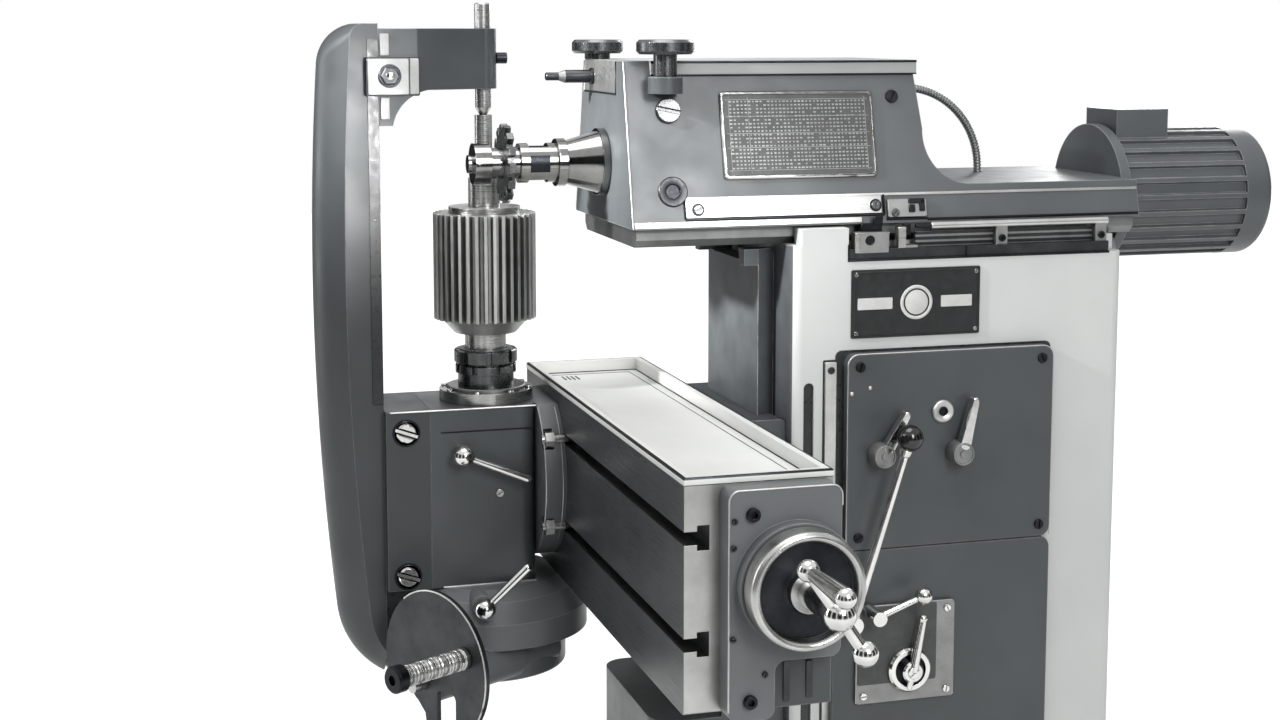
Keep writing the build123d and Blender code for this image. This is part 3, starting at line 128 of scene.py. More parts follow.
def ramp(tree, factor, stops):
    """A colour ramp from (place, hex or number) stops."""
    node = add(tree, "ShaderNodeValToRGB", {"Fac": factor})
    while len(node.color_ramp.elements) < len(stops):
        node.color_ramp.elements.new(0.5)
    for element, (place, tone) in zip(node.color_ramp.elements, stops):
        element.position = place
        element.color = linear(tone) if isinstance(tone, str) else (tone, tone, tone, 1.0)
    return node.outputs["Color"]


def combine(tree, operation, first, second):
    """One sum on two numbers or outputs."""
    return add(tree, "ShaderNodeMath", {0: first, 1: second}, operation=operation).outputs[0]


def stretch(tree, value, low, high, first=0.0, last=1.0):
    """Turn a value that runs from low to high to one that runs from first to last."""
    links = {"Value": value, "From Min": low, "From Max": high, "To Min": first, "To Max": last}
    return add(tree, "ShaderNodeMapRange", links).outputs["Result"]


def mix(tree, factor, first, second, blend="MIX"):
    """Mix two colours."""
    links = {"Factor": factor, "A": first, "B": second}
    return add(tree, "ShaderNodeMix", links, data_type="RGBA", blend_type=blend).outputs["Result"]


def noise(tree, place, size_mm, detail=2.0, rough=0.5):
    """Noise whose blotches are about size_mm across."""
    links = {"Vector": place, "Scale": 1.0 / (size_mm * MM), "Detail": detail, "Roughness": rough}
    return add(tree, "ShaderNodeTexNoise", links).outputs["Fac"]


def mottle(tree, place, size_mm, first, last, detail=4.0, rough=0.5):
    """Blotches that go from one colour or number to another."""
    return ramp(tree, noise(tree, place, size_mm, detail, rough), [(0.3, first), (0.7, last)])


def bump(tree, height, strength, depth_mm, normal=None):
    """The normal of a slightly uneven face, on top of another normal if one is given."""
    links = {"Height": height, "Strength": strength, "Distance": depth_mm * MM}
    if normal is not None:
        links["Normal"] = normal
    return add(tree, "ShaderNodeBump", links).outputs["Normal"]


def shade(tree, out, links):
    """One principled surface, joined to the material's output."""
    shader = add(tree, "ShaderNodeBsdfPrincipled", links)
    tree.links.new(shader.outputs["BSDF"], out.inputs["Surface"])


print("pure white in linear numbers:", linear("#ffffff"))


# %% [markdown]
# The floor and the world could be lit until they burn out, but then the machine would be too bright as well.
# So they glow only for the rays that show them, straight or in bright metal, and hand on a softer light. Dark
# cloths round the stage, seen only in bright metal, give it the dark lines that it has in a real workshop.

# %% Floor, world and dark cloths
def plane_mesh(name, corners, material):
    """A flat stage mesh from its corners."""
    mesh = bpy.data.meshes.new(name)
    mesh.from_pydata(corners, [], [tuple(range(len(corners)))])
    mesh.materials.append(material)
    obj = bpy.data.objects.new(name, mesh)
    scene.collection.objects.link(obj)
    return obj


def seen_as_paper(tree):
    """1 for the rays that show the background itself, 0 for those that carry its light."""
    path = add(tree, "ShaderNodeLightPath")
    seen = path.outputs["Is Camera Ray"]
    for kind in ("Is Glossy Ray", "Is Transmission Ray"):
        seen = combine(tree, "MAXIMUM", seen, path.outputs[kind])
    return seen


def build_floor():
    """A pale floor that the camera sees as white paper with the machine's shadow on it."""
    material, tree, out, place = new_material("pale studio floor")
    blotch_mm = 1000.0 / 1.5
    tone = mottle(tree, place, blotch_mm, "#c4c4c2", "#cbcbc9", detail=3.0)
    paper = add(tree, "ShaderNodeBsdfPrincipled", {"Base Color": tone, "Roughness": 0.85})
    away = add(tree, "ShaderNodeVectorMath", {0: place}, operation="LENGTH").outputs["Value"]
    near, far, near_glow, far_glow = 0.9, 3.2, 0.45, 0.97
    level = stretch(tree, away, near, far, near_glow, far_glow)
    lift = combine(tree, "MULTIPLY", seen_as_paper(tree), level)
    glow = add(tree, "ShaderNodeEmission", {"Color": (1, 1, 1, 1), "Strength": lift})
    both = add(tree, "ShaderNodeAddShader", {0: paper.outputs["BSDF"], 1: glow.outputs[0]})
    tree.links.new(both.outputs[0], out.inputs["Surface"])
    half = 14.0
    corners = [(-half, -half, 0), (half, -half, 0), (half, half, 0), (-half, half, 0)]
    plane_mesh("studio_floor", corners, material)


def build_world():
    """White behind the machine, and a soft grey light from all round."""
    world = bpy.data.worlds.new("studio")
    world.use_nodes = True
    scene.world = world
    tree = world.node_tree
    tree.nodes.clear()
    soft = add(tree, "ShaderNodeBackground", {"Color": linear("#f2f4f6"), "Strength": 0.38})
    paper = add(tree, "ShaderNodeBackground", {"Color": (1.0, 1.0, 1.0, 1.0), "Strength": 1.0})
    links = {0: seen_as_paper(tree), 1: soft.outputs[0], 2: paper.outputs[0]}
    mixed = add(tree, "ShaderNodeMixShader", links)
    add(tree, "ShaderNodeOutputWorld", {"Surface": mixed.outputs[0]})


def build_flags():
    """Dark cloths round the machine, seen only in bright metal, which give its edges their dark lines."""
    material, tree, out, place = new_material("dark studio cloth")
    blotch_mm = 1000.0 / 3.0
    tone = mottle(tree, place, blotch_mm, "#2a2a2b", "#38383a", detail=3.0)
    shade(tree, out, {"Base Color": tone, "Roughness": 1.0})
    away, foot, tall, sides, share = 6.0, 0.02, 4.2, 10, 0.8
    step = 2 * math.pi / sides
    for i in range(sides):
        first, last = i * step, (i + share) * step
        corners = []
        for angle, z in ((first, foot), (last, foot), (last, tall), (first, tall)):
            corners.append((away * math.cos(angle), away * math.sin(angle), z))
        flag = plane_mesh(f"dark_flag_{i}", corners, material)
        flag.visible_camera = flag.visible_diffuse = flag.visible_shadow = False
    print("dark cloths hung:", sides)


build_floor()
build_world()
build_flags()


# %% [markdown]
# The light is that of a small studio: four wide soft lamps give the even grey of the castings, and three
# narrow spots lift what the picture shows brighter, the side and the front of the headstock and the arm.

# %% Lamps
machine_middle = (0.0, -0.2, 1.1)


def add_light(kind, name, place, target, power):
    """A lamp that looks at a point; returns its data for the settings of its kind."""
    data = bpy.data.lights.new(name, kind)
    data.energy = power
    lamp = bpy.data.objects.new(name, data)
    lamp.location = place
    lamp.rotation_euler = (Vector(target) - Vector(place)).to_track_quat("-Z", "Y").to_euler()
    scene.collection.objects.link(lamp)
    return data


def add_softbox(name, place, width, height, power):
    """A wide soft lamp that looks at the middle of the machine."""
    data = add_light("AREA", name, place, machine_middle, power)
    data.shape = "RECTANGLE"
    data.size, data.size_y = width, height


def add_spot(name, place, target, angle, power):
    """A lamp with a narrow, soft-edged cone."""
    data = add_light("SPOT", name, place, target, power)
    data.spot_size = math.radians(angle)
    data.spot_blend = 1.0
    data.shadow_soft_size = 0.12


add_softbox("key_lamp", (3.0, 0.1, 2.5), 0.7, 1.4, 52.0)
add_softbox("top_lamp", (0.2, -0.5, 3.6), 1.6, 1.6, 36.0)
add_softbox("left_lamp", (-1.2, -3.0, 1.7), 0.8, 1.8, 20.0)
add_softbox("back_lamp", (-2.6, 2.2, 2.4), 1.2, 1.8, 45.0)
add_spot("headstock_side_spot", (2.6, 0.4, 2.2), (0.12, -0.3, 1.33), 9.0, 100.0)
add_spot("headstock_front_spot", (0.5, -2.6, 2.5), (0.0, -0.36, 1.375), 11.0, 1050.0)
add_spot("arm_spot", (3.3, -0.16, 1.42), (-0.06, -0.82, 1.4), 7.0, 1350.0)
print("lamps:", len(bpy.data.lights))

# %% [markdown]
# ## Finishes
#
# A machine like this is grey cast iron, filled, rubbed down and sprayed with oil enamel. Up close the paint
# has a faint orange peel and long soft waves from the filler. Its edges are lighter, partly where hands and
# swarf have rubbed it and partly as a painted highlight on the rounded edges, and its corners are darker as
# painted shade. The edge and corner masks come from the Bevel and Ambient Occlusion nodes, which need no
# unwrapping. The greys are those of the picture: light on the column, mid on the headstock, and dark on the
# panels, the dividing head and its arm.

# %% Enamel on cast iron
def edge_mask(tree, radius_mm, sharpness):
    """1 on the edges of a piece and 0 on its faces, with the rounded normal it came from."""
    eased = add(tree, "ShaderNodeBevel", {"Radius": radius_mm * MM}, samples=4).outputs["Normal"]
    flat = add(tree, "ShaderNodeNewGeometry").outputs["Normal"]
    alike = add(tree, "ShaderNodeVectorMath", {0: eased, 1: flat}, operation="DOT_PRODUCT")
    return stretch(tree, alike.outputs["Value"], 1.0, sharpness), eased


def corner_shade(tree, tone, reach_mm, stops):
    """A tone darkened in the corners of a piece, as painted shade."""
    corners = add(tree, "ShaderNodeAmbientOcclusion", {"Distance": reach_mm * MM}, samples=4)
    return mix(tree, 1.0, tone, ramp(tree, corners.outputs["AO"], stops), "MULTIPLY")


def enamel(name, dark, light, worn, roughness, peel_mm=3.0, peel=0.06, wear=0.75, way=None):
    """Sprayed oil enamel over filled cast iron, lighter on the edges, where it is worn thin and carries a
    painted highlight.

    way is (y, dark, light) of an oiled slideway on the front: what lies before y takes its two darker tones,
    bare oiled iron that is also painted shade.
    """
    material, tree, out, place = new_material(name)
    cloud_mm, way_shade_mm, patch_mm, gloss_mm, wave_mm = 160.0, 30.0, 22.0, 45.0, 90.0
    edge_mm, edge_turn, corner_mm = 1.8, 0.9, 25.0
    peel_depth, wave, wave_depth = 1.0, 0.16, 2.0
    tone = mottle(tree, place, cloud_mm, dark, light)
    # The front before way_y is darker: an oiled slideway, darkened further as painted shade.
    if way:
        way_y, way_dark, way_light = way
        along = add(tree, "ShaderNodeSeparateXYZ", {0: place})
        on_way = combine(tree, "LESS_THAN", along.outputs["Y"], way_y * MM)
        tone = mix(tree, on_way, tone, mottle(tree, place, way_shade_mm, way_dark, way_light))
    # Lighter edges: the paint worn thin, and a painted highlight on the rounded edges.
    edges, eased = edge_mask(tree, edge_mm, edge_turn)
    patches = ramp(tree, noise(tree, place, patch_mm, 4.0, 0.65), [(0.38, 0.4), (0.62, 1.0)])
    wear_and_highlight = combine(tree, "MULTIPLY", combine(tree, "MULTIPLY", edges, patches), wear)
    paint = mix(tree, wear_and_highlight, tone, linear(worn))
    # The corners are darkened as painted shade.
    shaded_paint = corner_shade(tree, paint, corner_mm, [(0.25, 0.62), (0.85, 1.0)])
    gloss = mottle(tree, place, gloss_mm, roughness - 0.05, roughness + 0.08, detail=3.0)
    peeled = bump(tree, noise(tree, place, peel_mm), peel, peel_depth, eased)
    waved = bump(tree, noise(tree, place, wave_mm), wave, wave_depth, peeled)
    shade(tree, out, {"Base Color": shaded_paint, "Roughness": gloss, "Normal": waved, "IOR": 1.5})
    return material


# The column's front takes darker tones: its bare way, and painted shade under the headstock.
shaded_column_way = (-168.0, "#4a4e50", "#585c5e")
light_enamel = enamel(
    "light grey enamel on cast iron", "#cbcecc", "#d6d8d6", "#e2e3e1", 0.45, way=shaded_column_way
)
pale_enamel = enamel("pale grey enamel on a cap", "#9ea1a0", "#acafae", "#d0d1cf", 0.45)
mid_enamel = enamel("mid grey enamel on cast iron", "#505456", "#5d6163", "#c4c6c5", 0.38)
plain_enamel = enamel("middle grey enamel on a bracket", "#66696b", "#747779", "#c0c2c1", 0.4)
dark_enamel = enamel("dark grey enamel on cast iron", "#424648", "#505456", "#a8aaaa", 0.38, wear=0.6)
arm_enamel = enamel("dark grey enamel on a tall arm", "#35393b", "#414547", "#a8aaaa", 0.4, wear=0.5)
panel_enamel = enamel("dark grey enamel on panels", "#424648", "#4e5254", "#b4b6b6", 0.38, wear=0.7)
base_enamel = enamel("grey floor enamel on cast iron", "#5d6162", "#6b6f70", "#8f9291", 0.5, 4.0, 0.1)
print("enamels made:", sum("enamel" in material.name for material in bpy.data.materials))

# %% [markdown]
# Bare steel shows how it was cut. A ground face has fine straight scratches along the table of the grinder,
# a turned part has rings round its axis, and a plated one is almost a mirror. All three are one recipe: a
# noise that is stretched in the direction of the cut drives the roughness and a very small bump. The real
# scratches are a few hundredths of a millimetre wide; they are drawn about half a millimetre wide, which is
# as fine as the render can show.

# %% Bare steel
def steel(name, dark, light, roughness, lay_mm, bite=0.12, spread=0.12, front=None, corner_mm=12.0):
    """Bare metal with cutting marks lay_mm long along x, y and z; front is a dark paint on its -Y faces,
    which also paints the shade on them.
    """
    material, tree, out, place = new_material(name)
    stain_mm, front_shade_mm, edge_mm, bite_depth, smoothest = 35.0, 60.0, 0.8, 0.3, 0.03
    scale = [1.0 / (length * MM) for length in lay_mm]
    along = add(tree, "ShaderNodeMapping", {"Vector": place, "Scale": scale}).outputs["Vector"]
    links = {"Vector": along, "Scale": 1.0, "Detail": 3.0, "Roughness": 0.6}
    marks = add(tree, "ShaderNodeTexNoise", links).outputs["Fac"]
    tone = mottle(tree, place, stain_mm, dark, light, rough=0.6)
    # The corners are darkened as painted shade.
    base, metallic = corner_shade(tree, tone, corner_mm, [(0.2, 0.35), (0.8, 1.0)]), 1.0
    # The -Y faces take a dark paint that also paints the shade falling on them.
    if front:
        facing = add(tree, "ShaderNodeSeparateXYZ", {0: place.node.outputs["Normal"]})
        metallic = stretch(tree, facing.outputs["Y"], -0.9, -0.5)
        base = mix(tree, metallic, mottle(tree, place, front_shade_mm, *front), base)
    gloss = stretch(tree, marks, 0.25, 0.75, max(roughness - spread, smoothest), roughness + spread)
    eased = add(tree, "ShaderNodeBevel", {"Radius": edge_mm * MM}, samples=4).outputs["Normal"]
    cut = bump(tree, marks, bite, bite_depth, eased)
    shade(tree, out, {"Base Color": base, "Metallic": metallic, "Roughness": gloss, "Normal": cut})
    return material


LONG, FINE = 60.0, 0.6
turned_about_x = steel("turned steel, rings about x", "#a9a9a8", "#c4c4c2", 0.3, (FINE, LONG, LONG))
turned_about_y = steel("turned steel, rings about y", "#a9a9a8", "#c4c4c2", 0.3, (LONG, FINE, LONG))
turned_about_z = steel("turned steel, rings about z", "#a9a9a8", "#c4c4c2", 0.3, (LONG, LONG, FINE))
ground_along_y = steel("ground steel, scratched along y", "#b4b4b2", "#cacac8", 0.34, (FINE, LONG, FINE))
ground_along_z = steel("ground steel, scratched along z", "#b4b4b2", "#cacac8", 0.34, (FINE, FINE, LONG))
plated = steel("nickel plated steel", "#c9c9c7", "#dadad8", 0.14, (8.0, 8.0, 8.0), 0.02, 0.06)
blackened = steel("oil blackened steel", "#26272a", "#35363a", 0.36, (2.0, 2.0, 2.0), 0.08, 0.1)
cut_iron = steel("machined grey iron", "#7d7e7e", "#939493", 0.42, (LONG, 1.0, 1.0), 0.15, 0.1)
planed_iron = steel("planed grey iron", "#7a7b7b", "#8e8f8e", 0.45, (1.0, LONG, 1.0), 0.15, 0.1)
milled_iron = steel("milled grey iron teeth", "#a6a7a5", "#bcbdbb", 0.42, (1.0, 1.0, 30.0), 0.12, 0.1)
polished = steel("polished steel, rings about y", "#838382", "#9b9b9a", 0.12, (LONG, 1.2, LONG), 0.03, 0.05)
tool_steel = steel("hardened tool steel", "#5a5b5c", "#707172", 0.3, (2.0, 2.0, 2.0), 0.08, 0.1)
dull_steel = steel("dull grey steel", "#3a3b3d", "#4b4c4e", 0.4, (3.0, 3.0, 3.0), 0.08, 0.1)
# Dark tones for the table's front: paint, and painted shade.
front_shade_paint = ("#2e3032", "#3b3d3f")
# The wide corner reach paints the shade on the table's end near its bracket.
table_iron = steel(
    "ground iron with painted shade on its front", "#a9a9a7", "#bebebc", 0.34, (LONG, FINE, FINE),
    front=front_shade_paint, corner_mm=45.0,
)
satin_plate = steel("satin aluminium plate", "#858685", "#9a9b9a", 0.5, (3.0, 3.0, 3.0), 0.1, 0.08)
# Bare worn iron, also laid as a painted highlight along rounded edges.
worn_iron_and_highlight = steel("bare worn iron edge and painted highlight", "#b9b9b7", "#d2d2d0", 0.45, (4.0, 4.0, 4.0), 0.05, 0.08)
etched_plate = steel("etched aluminium plate", "#b4b5b4", "#cbccca", 0.45, (4.0, 4.0, 4.0), 0.1, 0.08)
galvanised = steel("galvanised steel tape", "#8b8d8e", "#a2a4a4", 0.42, (3.0, 3.0, 3.0), 0.1, 0.1)
print("finishes made so far:", len(bpy.data.materials))


# %% [markdown]
# Plates are lacquered: a thin, even and slightly glossy coat. The balls on the levers are black phenolic,
# moulded and buffed to a deep gloss. Both need only soft blotches and a very fine grain.

# %% Lacquer and black balls
def lacquered(name, dark, light, roughness):
    """A thin baked lacquer on a metal plate."""
    material, tree, out, place = new_material(name)
    blotch_mm, gloss_mm, grain_mm, grain_depth = 20.0, 9.0, 1.2, 0.4
    tone = mottle(tree, place, blotch_mm, dark, light, 5.0, 0.65)
    gloss = mottle(tree, place, gloss_mm, roughness - 0.06, roughness + 0.08, detail=3.0)
    grain = bump(tree, noise(tree, place, grain_mm), 0.05, grain_depth)
    shade(tree, out, {"Base Color": tone, "Roughness": gloss, "IOR": 1.5, "Normal": grain})
    return material


def moulded_black(name):
    """Black phenolic: a deep gloss with fine rubbing marks."""
    material, tree, out, place = new_material(name)
    blotch_mm, gloss_mm, rub_mm, rub_depth = 14.0, 6.0, 1.5, 0.5
    tone = mottle(tree, place, blotch_mm, "#0b0b0c", "#171718")
    gloss = mottle(tree, place, gloss_mm, 0.1, 0.22, detail=3.0)
    rubs = bump(tree, noise(tree, place, rub_mm), 0.02, rub_depth)
    shade(tree, out, {"Base Color": tone, "Roughness": gloss, "IOR": 1.6, "Normal": rubs})
    return material


black_lacquer = lacquered("black lacquered plate", "#161718", "#222325", 0.35)
chart_lacquer = lacquered("grey lacquered chart", "#3c3d3d", "#4b4c4c", 0.45)
white_lacquer = lacquered("white lacquered field", "#c6c6c3", "#d6d6d3", 0.45)
# This dark fill paints the shade in grooves, seams and gaps.
shade_black = lacquered("dark fill, painted shade in grooves and gaps", "#1b1c1d", "#2a2b2d", 0.3)
black_ball = moulded_black("black phenolic ball")
print("finishes made:", len(bpy.data.materials))

# %% [markdown]
# Each solid of the frame now takes the finish of the real piece. The table below is the painter's and the
# machinist's list: which piece is painted in which grey, and which way each bare one was cut.

# %% Give every solid its finish
finish_list = {
    light_enamel: "column",
    pale_enamel: "headstock_cap",
    mid_enamel: "headstock drive_motor",
    plain_enamel: "end_bracket swivel_flange worm_housing",
    panel_enamel: "speed_panel feed_panel knee tail_bracket",
    dark_enamel: "head_body",
    arm_enamel: "support_arm",
    base_enamel: "base",
    table_iron: "table_slide",
    ground_along_y: "trip_rail clamp_block",
    ground_along_z: "tail_clamp",
    planed_iron: "headstock_slide",
    turned_about_x: "lead_screw panel_fasteners headstock_screws bracket_screws head_screws",
    polished: "spindle cutter_arbor arbor_spacers arbor_nut",
    turned_about_y: "spindle_bearings motor_pinion t_bolts worm_shaft quadrant_stud",
    turned_about_z: "elevating_screw work_spindle collet_nut mandrel mandrel_nut tail_centre",
    plated: "speed_lever_left speed_lever_right long_lever feed_lever ball_lever feed_dial ball_crank"
    " clamp_lever_upper clamp_lever_lower",
    tool_steel: "gear_cutter front_knob side_knob",
    dull_steel: "quadrant_plate",
    blackened: "conduit tail_screw",
    cut_iron: "spindle_gear worm_wheel",
    milled_iron: "gear_blank",
    satin_plate: "feed_plate",
    black_lacquer: "nameplate",
    chart_lacquer: "chart_plate",
}
finished = 0
for finish, names in finish_list.items():
    for name in names.split():
        nodes[name].data.materials.clear()
        nodes[name].data.materials.append(finish)
        finished += 1
print("solids finished:", finished, "of", len(nodes))

# %% [markdown]
# ## Tools of the bench
#
# Most added pieces are turned, cut from plate or made of rod, so three small tools make nearly all of
# them: one spins a profile like a lathe, one extrudes an outline like a saw, and one runs a rod between two
# points. The first two work in the frame of a "spot": a place on the machine with its own upright axis.

# %% Spots and rings
TINY = 1e-6
UP, DOWN, FORWARD = (0, 0, 1), (0, 0, -1), (0, -1, 0)


def box_mm(node):
    """The lowest and highest corners of a solid in mm."""
    return [Vector(corner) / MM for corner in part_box(node)]


def spot(x, y, z, axis=(1, 0, 0), up=UP):
    """A frame at a point in mm, whose own z runs along axis."""
    rise = Vector(axis).normalized()
    side = Vector(up).cross(rise)
    if side.length < TINY:
        side = Vector((0, 1, 0)).cross(rise)
    side.normalize()
    turned = Matrix((side, rise.cross(side), rise)).transposed().to_4x4()
    return Matrix.Translation(Vector((x, y, z))) @ turned


def around(radius, first, last, steps):
    """Flat points on an arc between two angles in radians, with both ends."""
    angles = [first + (last - first) * i / steps for i in range(steps + 1)]
    return [Vector((radius * math.cos(a), radius * math.sin(a))) for a in angles]


def circle(radius, count):
    """Flat points all round a circle."""
    angles = [2 * math.pi * i / count for i in range(count)]
    return [Vector((radius * math.cos(a), radius * math.sin(a))) for a in angles]


def lay(bm, place, points, height=0.0):
    """Lay flat points at a height in the spot's frame."""
    return [bm.verts.new(place @ Vector((x, y, height))) for x, y in points]


def skin(bm, rings, finish, closed=False, foot=True):
    """Join rings of points, with one finish or one for each span, and cap the ends of an open run."""
    bands = finish if isinstance(finish, list) else [finish] * len(rings)
    for a, b, band in zip(rings, rings[1:] + rings[:1] if closed else rings[1:], bands):
        for i in range(len(a)):
            j = (i + 1) % len(a)
            bm.faces.new((a[i], a[j], b[j], b[i])).material_index = band
    if foot and not closed:
        bm.faces.new(list(reversed(rings[0]))).material_index = bands[0]
    if not closed:
        bm.faces.new(rings[-1]).material_index = bands[-1]


joint_places = {
    joint["name"]: Vector(joint["pos_m"]) / MM for joint in frame["joints"] if "pos_m" in joint
}
joint_axes = {joint["name"]: Vector(joint["axis"]) for joint in frame["joints"]}
print("joints:", len(joint_axes), "with a place:", len(joint_places))


# %% Lathe, saw, rod and ball
def turn(bm, place, profile, finish=0, segments=48):
    """Spin a (radius, height) profile round the spot's axis, with one finish or one for each band."""
    rings = []
    for radius, height in profile:
        rings.append(lay(bm, place, circle(radius, segments if radius > TINY else 1), height))
    bands = finish if isinstance(finish, list) else [finish] * (len(profile) - 1)
    for low, high, band in zip(rings, rings[1:], bands):
        for i in range(segments):
            j = (i + 1) % segments
            corners = [low[i % len(low)], low[j % len(low)], high[j % len(high)], high[i % len(high)]]
            bm.faces.new(list(dict.fromkeys(corners))).material_index = band


def saw(bm, place, outline, low, high, finish=0, ease=0.0):
    """Extrude a closed outline (in the spot's x and y) from low to high, with an eased top edge."""
    middle = sum((Vector(p) for p in outline), Vector((0, 0))) / len(outline)

    def ring(height, inset):
        away = [Vector(p) - middle for p in outline]
        points = [middle + a * max(1.0 - inset / max(a.length, TINY), 0.0) for a in away]
        return lay(bm, place, points, height)

    rings = [ring(low, 0.0), ring(high - ease, 0.0)]
    if ease:
        rings.append(ring(high, ease))
    skin(bm, rings, finish)


def rounded(width, height, radius, steps=5):
    """The outline of a rectangle with round corners, about the origin."""
    points = []
    for quarter, (sx, sy) in enumerate(((1, 1), (-1, 1), (-1, -1), (1, -1))):
        centre = Vector((sx * (width / 2 - radius), sy * (height / 2 - radius)))
        first = math.pi / 2 * quarter
        points += [centre + p for p in around(radius, first, first + math.pi / 2, steps)]
    return points


def plate(bm, place, width, height, corner, low, high, finish=0, ease=0.0, steps=2):
    """A plate with round corners, about the spot's middle."""
    saw(bm, place, rounded(width, height, corner, steps), low, high, finish, ease)


def rod(bm, start, end, radius, finish=0, end_radius=None, segments=24):
    """A straight rod between two points in mm, with eased ends."""
    start, end = Vector(start), Vector(end)
    length = (end - start).length
    far = end_radius or radius
    ease = 0.15 * min(radius, far)
    profile = [(0, 0), (radius - ease, 0), (radius, ease)]
    profile += [(far, length - ease), (far - ease, length), (0, length)]
    turn(bm, spot(*start, axis=end - start), profile, finish, segments)


def ball(bm, centre, radius, finish=0, segments=32):
    """A ball at a point in mm."""
    profile = [(p.y, -p.x) for p in around(radius, 0.0, math.pi, segments // 2)]
    turn(bm, spot(*centre, axis=UP), profile, finish, segments)


print("corners of a rounded plate:", len(rounded(2.0, 2.0, 0.5)))


# %% [markdown]
# A finished mesh has its doubles merged, its faces turned outwards and only its real edges left sharp. It
# then rides on one body of the machine, and may stand in for the plain solid that it was drawn from.

# %% Finish a piece
def finish_mesh(mesh, sharp_angle=32.0, merge=0.000002):
    """Merge doubles, turn faces outwards and smooth all but the sharp edges."""
    bm = bmesh.new()
    bm.from_mesh(mesh)
    bmesh.ops.remove_doubles(bm, verts=bm.verts, dist=merge)
    bmesh.ops.recalc_face_normals(bm, faces=bm.faces)
    for face in bm.faces:
        face.smooth = True
    for edge in bm.edges:
        if len(edge.link_faces) == 2:
            edge.smooth = edge.calc_face_angle(0.0) < math.radians(sharp_angle)
    bm.to_mesh(mesh)
    bm.free()


def piece(name, bm, finishes, body, replaces=()):
    """Turn a mesh drawn in mm to an object that rides on a body."""
    for vert in bm.verts:
        vert.co *= MM
    mesh = bpy.data.meshes.new(name)
    bm.to_mesh(mesh)
    bm.free()
    finish_mesh(mesh)
    for finish in finishes:
        mesh.materials.append(finish)
    obj = bpy.data.objects.new(name, mesh)
    scene.collection.objects.link(obj)
    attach(obj, body)
    if replaces:
        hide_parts(*replaces)
    print(name, "has", len(mesh.polygons), "faces")


def solids_of(node, merge=0.00001):
    """The boxes (low, high corners in mm) of the separate solids in one node, from front to back."""
    bm = bmesh.new()
    bm.from_mesh(nodes[node].data)
    bmesh.ops.remove_doubles(bm, verts=bm.verts, dist=merge)
    left = set(bm.verts)
    boxes = []
    while left:
        group, reached = set(), [left.pop()]
        while reached:
            vert = reached.pop()
            group.add(vert)
            near = {edge.other_vert(vert) for edge in vert.link_edges} & left
            left -= near
            reached += near
        low = [min(v.co[i] for v in group) / MM for i in range(3)]
        high = [max(v.co[i] for v in group) / MM for i in range(3)]
        boxes.append((Vector(low), Vector(high)))
    bm.free()
    return sorted(boxes, key=lambda box: (box[0].y, box[0].z))


print("solids in panel_fasteners:", len(solids_of("panel_fasteners")))


# %% [markdown]
# ## Screws
#
# Three kinds of screw hold the machine together: slotted cheese heads, black socket heads with a hexagon
# hole, and a plug with a ring. Their solids are plain discs, which already stand in the right places, so
# each disc's box is read from the frame and a real head is built there. The slot is left open between two
# half discs, and the socket is a true hexagonal pit.

# %% Heads
def slotted_head(bm, place, radius, height, angle, finish=0, dome=0.08):
    """A cheese head: a disc with two half discs that leave the slot open, domed by a share of its radius."""
    slot_floor = 0.45 * height
    turn(bm, place, [(0, -height), (radius, -height), (radius, slot_floor), (0, slot_floor)], finish, 32)
    half_slot = 0.13 * radius
    first = math.asin(half_slot / radius)
    outline = around(radius, first, math.pi - first, 14)
    for side in (0.0, math.pi):
        spun = place @ Matrix.Rotation(math.radians(angle) + side, 4, "Z")
        saw(bm, spun, outline, slot_floor, height, finish, dome * radius)


def socket_head(bm, place, radius, height, finish=0, pit=0.55):
    """A cap screw: a turned head with a hexagonal pit."""
    sixth, each = math.pi / 3, 6
    unit = circle(1.0, 6 * each)
    inner = []
    for i in range(len(unit)):
        within = (sixth * i / each) % sixth - sixth / 2
        inner.append(pit * radius * math.cos(sixth / 2) / math.cos(within))
    ease, lip = 0.1 * radius, 0.04 * radius
    full = [radius] * len(unit)
    levels = [
        (full, 0.0),
        (full, height - ease),
        ([radius - ease] * len(unit), height),
        ([r + lip for r in inner], height),
        (inner, height - lip),
        (inner, 0.35 * height),
    ]
    rings = [lay(bm, place, [r * p for r, p in zip(radii, unit)], z) for radii, z in levels]
    skin(bm, rings, finish)


def seat_of(box):
    """The middle (y, z) of a disc that lies against an x face, its radius, and where it starts and ends."""
    low, high = box
    return (low.y + high.y) / 2, (low.z + high.z) / 2, (high.y - low.y) / 2, low.x, high.x


print("seat of the first bracket screw:", [round(v, 1) for v in seat_of(solids_of("bracket_screws")[0])])


# %% Screws of the panels, the end bracket and the dividing head
def dress_panel_screws():
    """Bright slotted pins on the plates, dark flush screws in the panels, and the ring plug."""
    pin, dark, pale = range(3)
    plug_from, dark_from = 10, 5
    bm = bmesh.new()
    for number, box in enumerate(solids_of("panel_fasteners")):
        y, z, radius, low, high = seat_of(box)
        height = high - low
        if radius > plug_from:
            lip = [(0, 0), (radius, 0), (radius, 0.7 * height), (radius - 1.5, height)]
            lip += [(0.62 * radius, height), (0.42 * radius, 0.72 * height)]
            lip += [(0.42 * radius, 0.3 * height), (0, 0.3 * height)]
            turn(bm, spot(low, y, z), lip, [pale] * 5 + [dark] * 2)
        else:
            finish = dark if radius > dark_from else pin
            slotted_head(bm, spot(low, y, z), radius, height, 37 * number % 180, finish)
    finishes = [plated, blackened, etched_plate]
    piece("panel_screw_heads", bm, finishes, "column_frame", ["panel_fasteners"])


